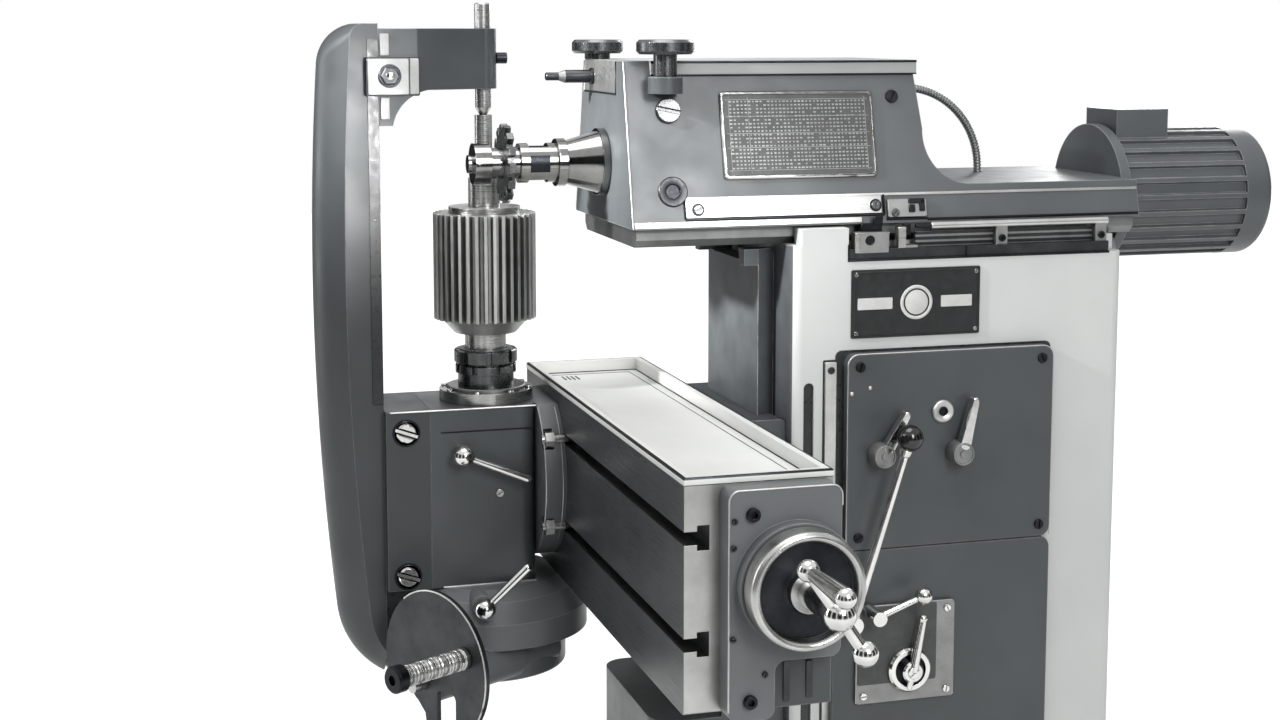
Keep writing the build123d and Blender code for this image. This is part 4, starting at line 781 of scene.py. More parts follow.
def dress_bracket_screws():
    """Black socket screws and small dark pins in the table's end bracket."""
    black, dull = range(2)
    socket_from = 6
    bm = bmesh.new()
    for number, box in enumerate(solids_of("bracket_screws")):
        y, z, radius, low, high = seat_of(box)
        if radius > socket_from:
            socket_head(bm, spot(low, y, z), radius, high - low, black)
        else:
            slotted_head(bm, spot(low, y, z), radius, high - low, 50 * number % 180, dull)
    finishes = [blackened, dull_steel]
    piece("bracket_screw_heads", bm, finishes, "table_unit", ["bracket_screws"])


def dress_head_screws():
    """Domed slotted screws in dark rings of painted shadow, which hold the arm to the dividing head, and its
    oil plug.
    """
    bright, plain, dark = range(3)
    screw_from, shadow_rim, shadow_rise = 8, 2.4, 0.6
    bm = bmesh.new()
    for box in solids_of("head_screws"):
        y, z, radius, low, high = seat_of(box)
        place, height = spot(low, y, z), high - low
        if radius > screw_from:
            # A dark ring round each head: painted shadow.
            seat = radius + shadow_rim
            turn(bm, place, [(0, 0), (seat, 0), (seat, shadow_rise), (0, shadow_rise)], dark)
            slotted_head(bm, place, radius, height, -20, bright, 0.4)
        else:
            slotted_head(bm, place, radius, height, 25, plain)
    finishes = [plated, turned_about_x, blackened]
    piece("head_screw_heads", bm, finishes, "table_unit", ["head_screws"])


dress_panel_screws()
dress_bracket_screws()
dress_head_screws()

# %% [markdown]
# ## Node trees for what repeats
#
# Knurls, ribs, threads and rows of marks are the same small shape many times over, so they are grown by
# Geometry Nodes. Each tree takes its sizes as named inputs. A small function fills the inputs, lets Blender
# evaluate the tree once and hands back a plain mesh, so nothing live is left on the finished piece.

# %% Tree tools
def start_tree(name, inputs):
    """A node tree with named inputs; returns it with the outputs of its input node."""
    tree = bpy.data.node_groups.new(name, "GeometryNodeTree")
    for label, kind in {**inputs, "Finish": "Material"}.items():
        tree.interface.new_socket(label, in_out="INPUT", socket_type="NodeSocket" + kind)
    tree.interface.new_socket("Shape", in_out="OUTPUT", socket_type="NodeSocketGeometry")
    return tree, add(tree, "NodeGroupInput").outputs


def end_tree(tree, given, shape):
    """Make the shape's copies real, give them their finish and hand them out."""
    real = add(tree, "GeometryNodeRealizeInstances", {"Geometry": shape}).outputs["Geometry"]
    dressed = add(tree, "GeometryNodeSetMaterial", {"Geometry": real, "Material": given["Finish"]})
    add(tree, "NodeGroupOutput", {"Shape": dressed.outputs["Geometry"]})
    print("node tree made:", tree.name)
    return tree


def copies(tree, points, instance, **links):
    """One copy of a shape on every point."""
    links = {"Points": points, "Instance": instance, **links}
    return add(tree, "GeometryNodeInstanceOnPoints", links).outputs["Instances"]


def pipe(tree, path, sides, radius):
    """A curve made solid, with a round or square section."""
    section = add(tree, "GeometryNodeCurvePrimitiveCircle", {"Resolution": sides, "Radius": radius})
    links = {"Curve": path, "Profile Curve": section.outputs["Curve"], "Fill Caps": True}
    return add(tree, "GeometryNodeCurveToMesh", links).outputs["Mesh"]


def grow(bm, tree, values, place=None, finish=0, path=None):
    """Evaluate a tree and add its mesh, moved to a spot, to the piece that is being drawn."""
    carrier = path or bpy.data.objects.new("grower", bpy.data.meshes.new("grower"))
    scene.collection.objects.link(carrier)
    modifier = carrier.modifiers.new("grow", "NODES")
    modifier.node_group = tree
    for item in tree.interface.items_tree:
        if item.in_out == "INPUT" and item.name in values:
            modifier[item.identifier] = values[item.name]
    shown = carrier.evaluated_get(bpy.context.evaluated_depsgraph_get())
    mesh = bpy.data.meshes.new_from_object(shown)
    carrier.modifiers.remove(modifier)
    bpy.data.objects.remove(carrier)
    if place is not None:
        mesh.transform(place)
    before = len(bm.faces)
    bm.from_mesh(mesh)
    bm.faces.ensure_lookup_table()
    for face in bm.faces[before:]:
        face.material_index = finish
    bpy.data.meshes.remove(mesh)


# %% A ring of ridges, for knurls
tree, given = start_tree("ring of ridges", {"Count": "Int", "Radius": "Float", "Ridge": "Vector"})
rim = add(tree, "GeometryNodeMeshCircle", {"Vertices": given["Count"], "Radius": given["Radius"]})
position = add(tree, "GeometryNodeInputPosition").outputs["Position"]
outward = add(tree, "FunctionNodeAlignRotationToVector", {"Vector": position}, axis="X")
ridge = add(tree, "GeometryNodeMeshCube", {"Size": given["Ridge"]}).outputs["Mesh"]
shape = copies(tree, rim.outputs["Mesh"], ridge, Rotation=outward.outputs["Rotation"])
ring_of_ridges = end_tree(tree, given, shape)

# %% Rows of marks, for a chart
tree, given = start_tree(
    "rows of marks",
    {"Columns": "Int", "Rows": "Int", "Width": "Float", "Height": "Float", "Mark": "Vector"}
    | {"Share": "Float", "Seed": "Int"},
)
links = {"Size X": given["Width"], "Size Y": given["Height"]}
links |= {"Vertices X": given["Columns"], "Vertices Y": given["Rows"]}
grid = add(tree, "GeometryNodeMeshGrid", links)
links = {"Probability": given["Share"], "Seed": given["Seed"]}
kept = add(tree, "FunctionNodeRandomValue", links, data_type="BOOLEAN").outputs[3]
shortest, longest = (0.55, 1.0, 1.0), (1.25, 1.0, 1.0)
links = {0: shortest, 1: longest, "Seed": given["Seed"]}
lengths = add(tree, "FunctionNodeRandomValue", links, data_type="FLOAT_VECTOR").outputs[0]
mark = add(tree, "GeometryNodeMeshCube", {"Size": given["Mark"]}).outputs["Mesh"]
shape = copies(tree, grid.outputs["Mesh"], mark, Selection=kept, Scale=lengths)
rows_of_marks = end_tree(tree, given, shape)

# %% A screw thread
tree, given = start_tree(
    "screw thread", {"Turns": "Float", "Radius": "Float", "Length": "Float", "Ridge": "Float"}
)
links = {"Resolution": 20, "Rotations": given["Turns"], "Height": given["Length"]}
links |= {"Start Radius": given["Radius"], "End Radius": given["Radius"]}
helix = add(tree, "GeometryNodeCurveSpiral", links).outputs["Curve"]
screw_thread = end_tree(tree, given, pipe(tree, helix, 4, given["Ridge"]))

# %% Ribs along a bent pipe
tree, given = start_tree(
    "ribs along a pipe",
    {"Path": "Geometry", "Pitch": "Float", "Rib Radius": "Float", "Core Radius": "Float"},
)
links = {"Curve": given["Path"], "Length": given["Pitch"]}
stations = add(tree, "GeometryNodeCurveToPoints", links, mode="LENGTH").outputs
rib_share, sides = 0.62, 20
width = combine(tree, "MULTIPLY", given["Pitch"], rib_share)
links = {"Vertices": sides, "Radius": given["Rib Radius"], "Depth": width}
rib = add(tree, "GeometryNodeMeshCylinder", links).outputs["Mesh"]
ribs = copies(tree, stations["Points"], rib, Rotation=stations["Rotation"])
core = pipe(tree, given["Path"], sides, given["Core Radius"])
both = add(tree, "GeometryNodeJoinGeometry")
for shape in (ribs, core):
    tree.links.new(shape, both.inputs["Geometry"])
ribs_along_pipe = end_tree(tree, given, both.outputs["Geometry"])


# %% [markdown]
# ## The headstock
#
# The headstock's sides lean inwards, so everything that lies on them is drawn in a tilted frame. On the
# side there is a speed chart in a bright bead frame, a ground gib strip with a screw at each end, a thin
# machined line along the whole foot, a big slotted screw, a socket plug and a small dark screw. The chart
# is a plain generic grid: rows of small dashes and ruled lines, with no figures to read.

# %% Chart plate on the leaning side
side_lean = Vector((1.0, 0.0, 0.2235))
side_foot, side_foot_z = 135.0, 1306.0


def on_side(y, z, above=0.0):
    """A spot on the headstock's leaning side, a little above the casting."""
    x = side_foot - (z - side_foot_z) * side_lean.z
    away = side_lean.normalized() * above
    return spot(x + away.x, y, z + away.z, side_lean)


def frame_ring(bm, place, width, height, radius, band, low, high, finish=0):
    """A flat band round a rounded rectangle, with a rounded crown."""
    ease, smallest = 0.3 * band, 0.5
    rings = []
    for inset, level in ((0.0, low), (0.0, high - ease), (ease, high), (0.7 * band, high), (band, low)):
        outline = rounded(width - 2 * inset, height - 2 * inset, max(radius - inset, smallest))
        rings.append(lay(bm, place, outline, level))
    skin(bm, rings, finish, closed=True)


def dress_chart():
    """A bead frame, ruled lines and rows of blank marks on the chart plate."""
    bright, satin = range(2)
    low, high = box_mm("chart_plate")
    width = high.y - low.y
    height = (high.z - low.z) * side_lean.length - 1.0
    plate_thick, line = 2.0, 0.7
    place = on_side((low.y + high.y) / 2, (low.z + high.z) / 2, plate_thick)
    bm = bmesh.new()
    frame_ring(bm, place, width, height, 7.0, 5.0, -0.5, 2.2, bright)
    inner_width, inner_height = width - 22.0, height - 20.0
    for share in (-0.5, -0.18, 0.02, 0.26, 0.5):
        bar = place @ Matrix.Translation((0, share * inner_height, 0))
        plate(bm, bar, inner_width + 8, line, 0.3, -0.2, 0.35, satin, steps=1)
    for share in (-0.5, -0.36, 0.5):
        bar = place @ Matrix.Translation((share * inner_width, 0, 0))
        plate(bm, bar, line, inner_height + 6, 0.3, -0.2, 0.35, satin, steps=1)
    values = {"Columns": 36, "Rows": 19, "Width": inner_width - 4, "Height": inner_height - 5}
    values |= {"Mark": (3.0, 1.9, 0.6), "Share": 0.88, "Seed": 7, "Finish": plated}
    grow(bm, rows_of_marks, values, place @ Matrix.Translation((0, 0, 0.15)), satin)
    piece("chart_frame", bm, [plated, satin_plate], "headstock_unit")


dress_chart()


# %% Gib strip, machined line and screws
def dress_headstock_side():
    """The ground gib strip with its end screws, and the thin machined lines above it and along the foot."""
    ground, tool, dark = range(3)
    strip_front, strip_back, strip_middle, strip_rise = -298.0, -50.0, 1328.5, 2.5
    strip_width, screw, rim = 21.0, 5.6, 7.6
    bm = bmesh.new()
    place = on_side((strip_front + strip_back) / 2, strip_middle)
    plate(bm, place, strip_back - strip_front, strip_width, 1.0, -0.5, strip_rise, ground, 0.4)
    for y, angle in ((strip_front + 15.0, 20), (strip_back - 8.0, 75)):
        seat = on_side(y, strip_middle - 1.0, strip_rise)
        turn(bm, seat, [(0, -0.5), (rim, -0.5), (rim, 0.5), (0, 0.5)], dark)
        slotted_head(bm, seat, screw, 2.5, angle, tool)
    for front, back, z, tall, rise in ((-298.0, 299.0, 1340.5, 3.2, 1.0), (-361.0, -76.0, 1311.0, 6.5, 0.8)):
        line = on_side((front + back) / 2, z)
        plate(bm, line, back - front, tall, 0.6, -0.5, rise, ground, 0.3)
    finishes = [ground_along_y, tool_steel, blackened]
    piece("gib_strip", bm, finishes, "headstock_unit")


def dress_headstock_screws():
    """The slotted screw, the socket plug and the dark rear screw, in place of plain discs."""
    dull, tool, dark = range(3)
    lean_sine, lean_cosine = 0.218, 0.976
    plug_below, front_before = 1370, -200
    bm = bmesh.new()
    for low, high in solids_of("headstock_screws"):
        middle = (low + high) / 2
        radius = (high.y - low.y) / 2
        place = on_side(middle.y, middle.z)
        height = (high.x - low.x - 2 * radius * lean_sine) / lean_cosine
        if middle.z < plug_below:
            ring = [(0, 0), (radius, 0), (radius, 0.5 * height), (0.93 * radius, height)]
            ring += [(0.62 * radius, height), (0.5 * radius, 0.75 * height)]
            ring += [(0.46 * radius, 0.15 * height), (0, 0.15 * height)]
            turn(bm, place, ring, [dull] * 5 + [dark] * 2)
        elif middle.y < front_before:
            slotted_head(bm, place, radius, height, -12, tool)
        else:
            slotted_head(bm, place, radius, height, 64, dark)
    finishes = [dull_steel, tool_steel, blackened]
    piece("headstock_screw_heads", bm, finishes, "headstock_unit", ["headstock_screws"])


dress_headstock_side()
dress_headstock_screws()


# %% [markdown]
# The two clamp knobs on top have knurled rims for the fingers. The knurl is a ring of fine upright ridges,
# set a little into the rim so that it stays the size of the solid knob.

# %% Knurled rims of the clamp knobs
def dress_knob(node, body):
    """A ring of ridges round a knob's rim."""
    low, high = box_mm(node)
    radius = (high.x - low.x) / 2
    centre = (low + high) / 2
    rim_height, top_edge, set_in = 9.0, 2.0, 0.55
    bm = bmesh.new()
    place = spot(centre.x, centre.y, high.z - top_edge - rim_height / 2, UP)
    values = {"Count": 72, "Radius": radius - set_in, "Ridge": (1.0, 1.5, rim_height - 2)}
    grow(bm, ring_of_ridges, values | {"Finish": tool_steel}, place)
    piece(node + "_knurl", bm, [tool_steel], body)


dress_knob("front_knob", "front_clamp_knob")
dress_knob("side_knob", "side_clamp_knob")


# %% [markdown]
# ## Levers and the hand wheel
#
# The operator's side is full of bright levers. Their solids carry one material each, but the real ones mix
# two: the long lever has a plated rod and a black moulded ball, and the speed levers have a satin hub with
# a bright blade. So these pieces are drawn again from the same sizes and stand in for their solids.

# %% Speed levers
panel_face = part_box("speed_panel")[1][0] / MM
plate_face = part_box("feed_plate")[1][0] / MM
gap = 0.2
print("panel face at x", round(panel_face, 1), "plate face at x", round(plate_face, 1))


def blade(bm, place, length, root, tip, low, high, finish):
    """A flat tapered blade with round ends, from a spot along its own y."""
    ahead = Vector((0.0, length - tip))
    outline = [ahead + p for p in around(tip, 0.0, math.pi, 8)]
    outline += around(root, math.pi, 2 * math.pi, 8)
    saw(bm, place, outline, low, high, finish, 1.6)


def dress_speed_lever(node, body, joint):
    """A satin hub with a raised rim and a screw, and a bright tapered blade."""
    satin, bright = range(2)
    low, high = box_mm(node)
    pivot = joint_places[joint]
    hub, pin, screw = 15.0, 6.0, 4.5
    tip, root = 4.0, 7.0
    foot = panel_face + gap
    tall = high.x - foot - 4.0
    reach = Vector((high.y - tip - pivot.y, high.z - tip - pivot.z))
    place = spot(foot, pivot.y, pivot.z)
    bm = bmesh.new()
    rim = [(0, 0), (hub, 0), (hub, 0.8 * tall), (hub - 1.5, tall), (hub - 3.0, tall), (hub - 3.6, tall - 1.2)]
    rim += [(screw, tall - 1.2), (screw, tall + 0.6), (0, tall + 0.6)]
    turn(bm, place, rim, satin)
    turn(bm, place, [(0, low.x - foot), (pin, low.x - foot), (pin, 0.5), (0, 0.5)], bright, 24)
    swung = place @ Matrix.Rotation(-math.atan2(reach.x, reach.y), 4, "Z")
    start = 0.75 * hub
    rooted = swung @ Matrix.Translation((0, start, 0))
    blade(bm, rooted, reach.length - start + 3, root, tip, 0.45 * tall, 0.95 * tall, bright)
    piece(node + "_dressed", bm, [satin_plate, plated], body, [node])


dress_speed_lever("speed_lever_left", "left_speed_lever", "left_speed_turn")
dress_speed_lever("speed_lever_right", "right_speed_lever", "right_speed_turn")


# %% Long lever and feed lever
def dress_long_lever():
    """A stepped hub, a slim tapered rod and a black ball with its ferrule."""
    bright, black = range(2)
    low, high = box_mm("long_lever")
    pivot = joint_places["long_lever_swing"]
    knob, hub, arm, pin = 16.0, 13.0, 4.5, 6.0
    tip = Vector((high.x - knob, high.y - knob, high.z - knob))
    foot, top = panel_face + gap, tip.x - knob / 2
    tall = top - foot
    bm = bmesh.new()
    profile = [(0, low.x - foot), (pin, low.x - foot), (pin, 0), (hub, 0), (hub, 0.3 * tall)]
    profile += [(0.8 * hub, 0.4 * tall), (0.8 * hub, 0.7 * tall), (hub, 0.76 * tall), (hub, 0.94 * tall)]
    turn(bm, spot(foot, pivot.y, pivot.z), profile + [(0.85 * hub, tall), (0, tall)], bright)
    start = Vector((top - 2 * arm, pivot.y, pivot.z))
    rod(bm, start, tip, 1.4 * arm, bright, arm)
    along = (tip - start).normalized()
    ferrule, mouth = 6.5, 8.0
    rod(bm, tip - along * (knob + 7), tip - along * (knob - 2), ferrule, bright, mouth)
    ball(bm, tip, knob, black)
    piece("long_lever_dressed", bm, [plated, black_ball], "long_speed_lever", ["long_lever"])


def dress_feed_lever():
    """A dark dial with a bright rim, a bright hub with its slotted nut, and the arm."""
    dark, bright = range(2)
    low, high = box_mm("feed_lever")
    pivot = joint_places["feed_selector_turn"]
    dial, thick, arm, pin, hub = 28.0, 9.0, 4.5, 6.0, 13.5
    foot = plate_face + gap
    hub_top, nut, nut_rise = 2 * thick - 1.0, 7.5, 2.2
    place = spot(foot, pivot.y, pivot.z)
    bm = bmesh.new()
    profile = [(0, low.x - foot), (pin, low.x - foot), (pin, 0), (dial, 0), (dial, 0.6 * thick)]
    profile += [(dial - 2.5, 0.9 * thick), (dial - 8.0, 0.9 * thick), (dial - 8.6, 0.5 * thick)]
    profile += [(hub, 0.5 * thick), (hub, thick + 6.0), (hub - 2.0, hub_top), (0, hub_top)]
    turn(bm, place, profile, [bright] * 6 + [dark] * 2 + [bright] * 3)
    slotted_head(bm, place @ Matrix.Translation((0, 0, hub_top)), nut, nut_rise, 35, bright)
    start = Vector((foot + thick + arm, pivot.y, pivot.z))
    tip_ball, tip_aside, tail = 1.2 * arm, 13.0, 22.0
    tip = Vector((start.x, pivot.y + tip_aside, high.z - tip_ball))
    rod(bm, start, tip, 1.5 * arm, bright, arm)
    ball(bm, tip, tip_ball, bright, 24)
    away = (start - tip).normalized()
    rod(bm, start, start + away * tail, 5.0, bright, 3.0)
    piece("feed_lever_dressed", bm, [blackened, plated], "feed_selector", ["feed_lever"])


dress_long_lever()
dress_feed_lever()


# %% [markdown]
# The hand wheel at the table's end is a turned iron disc with a wide bright rim and a dark, dished face.
# The rim is drawn as a half round so that it catches a broad highlight, as in the picture.

# %% Hand wheel
def dress_hand_wheel():
    """A dished wheel: bright half-round rim, dark face and bright hub."""
    bright, dark = range(2)
    low, high = box_mm("feed_dial")
    radius = (high.z - low.z) / 2
    wide = high.x - low.x
    place = spot(low.x, (low.y + high.y) / 2, (low.z + high.z) / 2)
    bore, rim, crown, hub, dish, steps = 10.1, 10.5, 7.0, 21.0, 12.0, 10
    profile = [(bore, 0), (radius - 5, 0), (radius, 3)]
    for across, rise in around(1.0, 0.0, math.pi, steps):
        profile.append((radius - rim / 2 + rim / 2 * across, wide - crown + crown * rise))
    profile += [(radius - rim - 1.0, wide - dish), (hub + 3.0, wide - dish), (hub, wide - dish + 2.0)]
    profile += [(hub, wide), (bore, wide), (bore, 0)]
    finishes = [dark] + [bright] * (steps + 3) + [dark] * 2 + [bright] * 3
    bm = bmesh.new()
    turn(bm, place, profile, finishes, 96)
    piece("hand_wheel", bm, [turned_about_x, blackened], "feed_crank", ["feed_dial"])


dress_hand_wheel()


# %% [markdown]
# ## Column and pipe
#
# Down the column's side runs a bright steel strip that covers the joint of the knee's way, held by a screw
# at each end, with a thin dark line on both sides that is painted shadow in the gaps. The groove beside it is
# dark inside, and so is the seam round the upper panel: both are painted shade. Above the panels sits a dark
# name plate; its face is left blank apart from two empty fields for stamping and a plain round boss between
# them. Behind the headstock an armoured pipe carries the wires: it is a core with ribs set along its bend by
# a node tree.

# %% Cover strip, seam, groove and name plate
def dress_column_side():
    """The cover strip with its screws, the painted shadow round it and in the seam and the groove, and the
    blank fields of the name plate.
    """
    bare, white, dull, black, painted_shade = range(5)
    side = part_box("nameplate")[0][0] / MM
    bm = bmesh.new()
    strip_middle, strip_width, strip_rise, joint = -121.5, 14.0, 4.0, 2.2
    strip_low, strip_high = 500.0, 1142.0
    strip_length = strip_high - strip_low
    place = spot(side, strip_middle, (strip_low + strip_high) / 2)
    plate(bm, place, strip_width, strip_length, 1.0, -0.5, strip_rise, bare, 0.6)
    for z, angle in ((strip_high - 10.0, 30), (strip_low + 12.0, 80)):
        slotted_head(bm, spot(side + strip_rise, strip_middle, z), 4.5, 1.6, angle, dull)
    # A dark margin round the strip: painted shadow in the gaps.
    plate(bm, place, strip_width + 2 * joint, strip_length + 2 * joint, 1.6, -0.6, 0.5, black)
    # A dark plate behind the upper panel, reaching out before it: painted shadow in the seam.
    low, high = box_mm("speed_panel")
    front, back, top = low.y - 11.0, high.y + 2.0, high.z + 3.0
    seam = spot(side, (front + back) / 2, (low.z + top) / 2)
    plate(bm, seam, back - front, top - low.z, 8.0, -0.3, 0.35, painted_shade, steps=5)
    # A dark liner in the groove: painted shade inside it.
    groove_middle, groove_width, groove_floor = -148.5, 13.0, side - 10.0
    groove_low, groove_high = 420.0, 1117.0
    pit = spot(groove_floor, groove_middle, (groove_low + groove_high) / 2)
    length = groove_high - groove_low
    plate(bm, pit, groove_width - gap, length - gap, 0.49 * groove_width, -0.3, 6.5, painted_shade, steps=5)
    low, high = box_mm("nameplate")
    middle = (low + high) / 2
    face = spot(high.x, middle.y, middle.z)
    frame_ring(bm, face, high.y - low.y - 5, high.z - low.z - 5, 2.5, 1.6, -0.3, 0.6, black)
    for front, back in ((-76.5, -31.5), (32.5, 73.5)):
        field = spot(high.x, middle.y + (front + back) / 2, middle.z)
        plate(bm, field, back - front, 14.0, 1.0, -0.3, 0.7, white, 0.2)
    radius, step = 21.0, 2.0
    boss = [(0, -0.3), (radius, -0.3), (radius, 0.6), (radius - step, 1.2), (radius - 2 * step, 0.6)]
    boss += [(radius - 3 * step, 0.6), (radius - 4 * step, 1.2), (0, 1.6)]
    turn(bm, face, boss, [white] * 4 + [black] + [white] * 2)
    finishes = [worn_iron_and_highlight, white_lacquer, dull_steel, black_lacquer, shade_black]
    piece("column_trim", bm, finishes, "column_frame")


dress_column_side()


# %% Armoured pipe
def dress_conduit():
    """An armoured pipe: a core with ribs along a run, a bend and a drop."""
    low, high = box_mm("conduit")
    radius = (high.x - low.x) / 2
    middle = (low.x + high.x) / 2
    back, top = high.y - radius, high.z - radius
    bend, steps = 107.0, 24
    points = [(middle, low.y, top)]
    for across, rise in around(bend, math.pi / 2, 0.0, steps):
        points.append((middle, back - bend + across, top - bend + rise))
    points.append((middle, back, low.z))
    curve = bpy.data.curves.new("pipe_path", "CURVE")
    curve.dimensions = "3D"
    line = curve.splines.new("POLY")
    line.points.add(len(points) - 1)
    for point, place in zip(line.points, points):
        point.co = (*place, 1.0)
    path = bpy.data.objects.new("pipe_path", curve)
    bm = bmesh.new()
    values = {"Pitch": 4.0, "Rib Radius": radius, "Core Radius": radius - 1.0, "Finish": galvanised}
    grow(bm, ribs_along_pipe, values, path=path)
    piece("armoured_conduit", bm, [galvanised], "headstock_unit", ["conduit"])


dress_conduit()


# %% [markdown]
# ## Dividing head, arm and tailstock
#
# The dividing head and its tall arm are plain dark castings, so what matters is how they are joined: a dark
# guide strip on the arm for the tailstock bracket, which also paints the shade on the arm's back edge, a dark
# packing under its foot, which paints the shade in the gap there, bright gib bars beside the clamp, a stepped
# clamp with a hexagon bolt, a seam under the head's top cover, and a bright cover ring under the worm
# housing. The stud on the quadrant and the screw under the knee are threaded ones, with their threads wound
# by a node tree.

# %% Arm guide, gib bars and clamp
arm_side, arm_back = -63.0, -628.0


def dress_arm():
    """The dark guide strip up the near side of the arm, also painted shade on its back edge, and a dark fill
    of painted shade in the gap between its foot and the housing.
    """
    strip_width, strip_low, strip_high = 13.0, 1078.0, 1528.0
    bm = bmesh.new()
    # The dark strip is a guide and also paints the shade on the arm's back edge.
    place = spot(arm_side, arm_back - strip_width / 2 - 0.5, (strip_low + strip_high) / 2)
    plate(bm, place, strip_width, strip_high - strip_low, 1.0, -0.5, 2.0, 0, 0.5)
    # A dark fill in the gap under the arm's foot: painted shade.
    shade_fill = [(0, 738), (10, 738), (10, 808), (25, 832), (33, 838), (33, 842.5), (0, 842.5)]
    shade_fill_width, set_back = 46.0, 1.0
    saw(bm, spot(arm_side - shade_fill_width - set_back, arm_back, 0.0), shade_fill, 0.0, shade_fill_width, 0)
    piece("arm_guide", bm, [shade_black], "table_unit")


def dress_tail_clamp():
    """The stepped clamp block with its washer and hexagon bolt, in place of the plain block."""
    satin, dark, bright, dull = range(4)
    low, high = box_mm("tail_clamp")
    thick, step, ledge_thick, rim = 18.0, 13.0, 11.0, 1.5
    face = low.x + thick
    wide, tall, middle = high.y - low.y - step, high.z - low.z, (low.z + high.z) / 2
    bm = bmesh.new()
    main = spot(low.x, (low.y + high.y - step) / 2, middle)
    plate(bm, main, wide, tall, 1.5, 0.0, face - low.x, satin, 1.0, 3)
    ledge = spot(low.x, high.y - step / 2 - 0.5, middle)
    plate(bm, ledge, step + 1.0, tall, 1.5, 0.0, ledge_thick, satin, 1.0, 3)
    plate(bm, main, wide + 2 * rim, tall + 2 * rim, 2.4, 0.0, face - low.x - 4.0, dark, steps=3)
    plate(bm, ledge, step + 1.0 + 2 * rim, tall + 2 * rim, 2.4, 0.0, ledge_thick - 3.0, dark, steps=3)
    bolt_y, bolt_z, washer, hexagon, stud = -617.0, middle + 1.0, 14.0, 11.5, 5.0
    place, bolt = spot(face, bolt_y, bolt_z), high.x - face
    turn(bm, place, [(0, 0), (washer, 0), (washer, 1.6), (washer - 0.8, 2.2), (0, 2.2)], dark)
    saw(bm, place, circle(hexagon, 6), 2.0, bolt - 1.5, dull, 1.2)
    turn(bm, place, [(0, 2.0), (stud, 2.0), (stud, bolt - 0.6), (stud - 1.4, bolt), (0, bolt)], bright, 24)
    finishes = [satin_plate, blackened, plated, dull_steel]
    piece("tail_clamp_dressed", bm, finishes, "tailstock", ["tail_clamp"])


def dress_tail_gibs():
    """Two bright gib bars on the bracket's root, above and below the clamp."""
    bar_y, bar_width = -620.5, 11.0
    bm = bmesh.new()
    for bar_low, bar_high in ((1507.0, 1534.0), (1430.0, 1457.0)):
        place = spot(arm_side, bar_y, (bar_low + bar_high) / 2)
        plate(bm, place, bar_width, bar_high - bar_low, 1.0, -0.5, 3.0, 0, 0.5)
    piece("tail_gibs", bm, [satin_plate], "tailstock")


dress_arm()
dress_tail_clamp()
dress_tail_gibs()


# %% Seam and cover ring
def dress_head():
    """The seam under the head's top cover and the bright cover ring under the worm housing."""
    bright, dark = range(2)
    low, high = box_mm("head_body")
    housing_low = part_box("worm_housing")[0][2] / MM
    axis = joint_places["work_turn"]
    cover_thick, ring_rise, outer, inner, slope = 29.0, 5.0, 86.0, 60.0, 3.0
    bolts, bolt_circle = 6, 71.5
    bm = bmesh.new()
    place = spot(high.x, (low.y + high.y) / 2 + 4.0, high.z - cover_thick)
    plate(bm, place, high.y - low.y - 18.0, 2.0, 0.8, -0.6, 0.35, dark, 0.2)
    ring = [(0, -0.5), (outer, -0.5), (outer, 2.5), (outer - slope, ring_rise)]
    ring += [(inner, ring_rise), (inner - slope, 3.0), (0, 3.0)]
    turn(bm, spot(axis.x, axis.y, housing_low, DOWN), ring, [bright] * 4 + [dark] * 2, 72)
    for i in range(bolts):
        angle = 2 * math.pi / bolts * (i + 0.4)
        x, y = axis.x + bolt_circle * math.cos(angle), axis.y + bolt_circle * math.sin(angle)
        socket_head(bm, spot(x, y, housing_low - ring_rise, DOWN), 5.0, 3.0, dark)
    piece("head_trim", bm, [plated, blackened], "table_unit")


dress_head()


# %% Threads
def wind(bm, place, radius, length, pitch, ridge, finish):
    """Wind a thread round a core, from a spot along its axis."""
    values = {"Turns": length / pitch, "Radius": radius, "Length": length, "Ridge": ridge, "Finish": finish}
    grow(bm, screw_thread, values, place)


def dress_stud():
    """A threaded stud with a plain collar and a round nut at its end."""
    plain, dark = range(2)
    low, high = box_mm("quadrant_stud")
    way = joint_axes["quadrant_swing"].normalized()
    length, radius, nut = 108.0, 13.0, 16.0
    root, bore, collar, pitch, ridge = radius - 1.6, 6.0, 6.0, 4.0, 1.5
    place = spot(*((low + high) / 2 - way * length / 2), axis=way)
    bm = bmesh.new()
    core = [(0, 0), (radius, 0), (radius, collar), (root, collar + 2.0), (root, length - 16.0)]
    core += [(nut - 1.5, length - 15.0), (nut, length - 13.5), (nut, length - 2.0), (nut - 2.0, length)]
    core += [(bore, length), (bore, length - 4.0), (0, length - 4.0)]
    turn(bm, place, core, [plain] * 4 + [dark] * 7)
    wind(bm, place @ Matrix.Translation((0, 0, 10.0)), root, length - 28.0, pitch, ridge, turned_about_y)
    finishes = [turned_about_y, blackened]
    piece("threaded_stud", bm, finishes, "quadrant", ["quadrant_stud"])


def dress_elevating_screw():
    """The screw that carries the knee: a plain foot, a core and the thread round it."""
    low, high = box_mm("elevating_screw")
    radius = (high.x - low.x) / 2
    middle = (low + high) / 2
    tall = high.z - low.z
    foot, ridge, pitch = 32.0, 1.1, 7.0
    core = radius - 1.4
    bm = bmesh.new()
    place = spot(middle.x, middle.y, low.z, UP)
    profile = [(0, 0), (radius, 0), (radius, foot - 2.0), (core, foot)]
    turn(bm, place, profile + [(core, tall - 2.0), (core - 2.0, tall), (0, tall)])
    foot_place = place @ Matrix.Translation((0, 0, foot))
    wind(bm, foot_place, radius - ridge, tall - foot - 6.0, pitch, ridge, turned_about_z)
    piece("elevating_thread", bm, [turned_about_z], "column_frame", ["elevating_screw"])


dress_stud()
dress_elevating_screw()


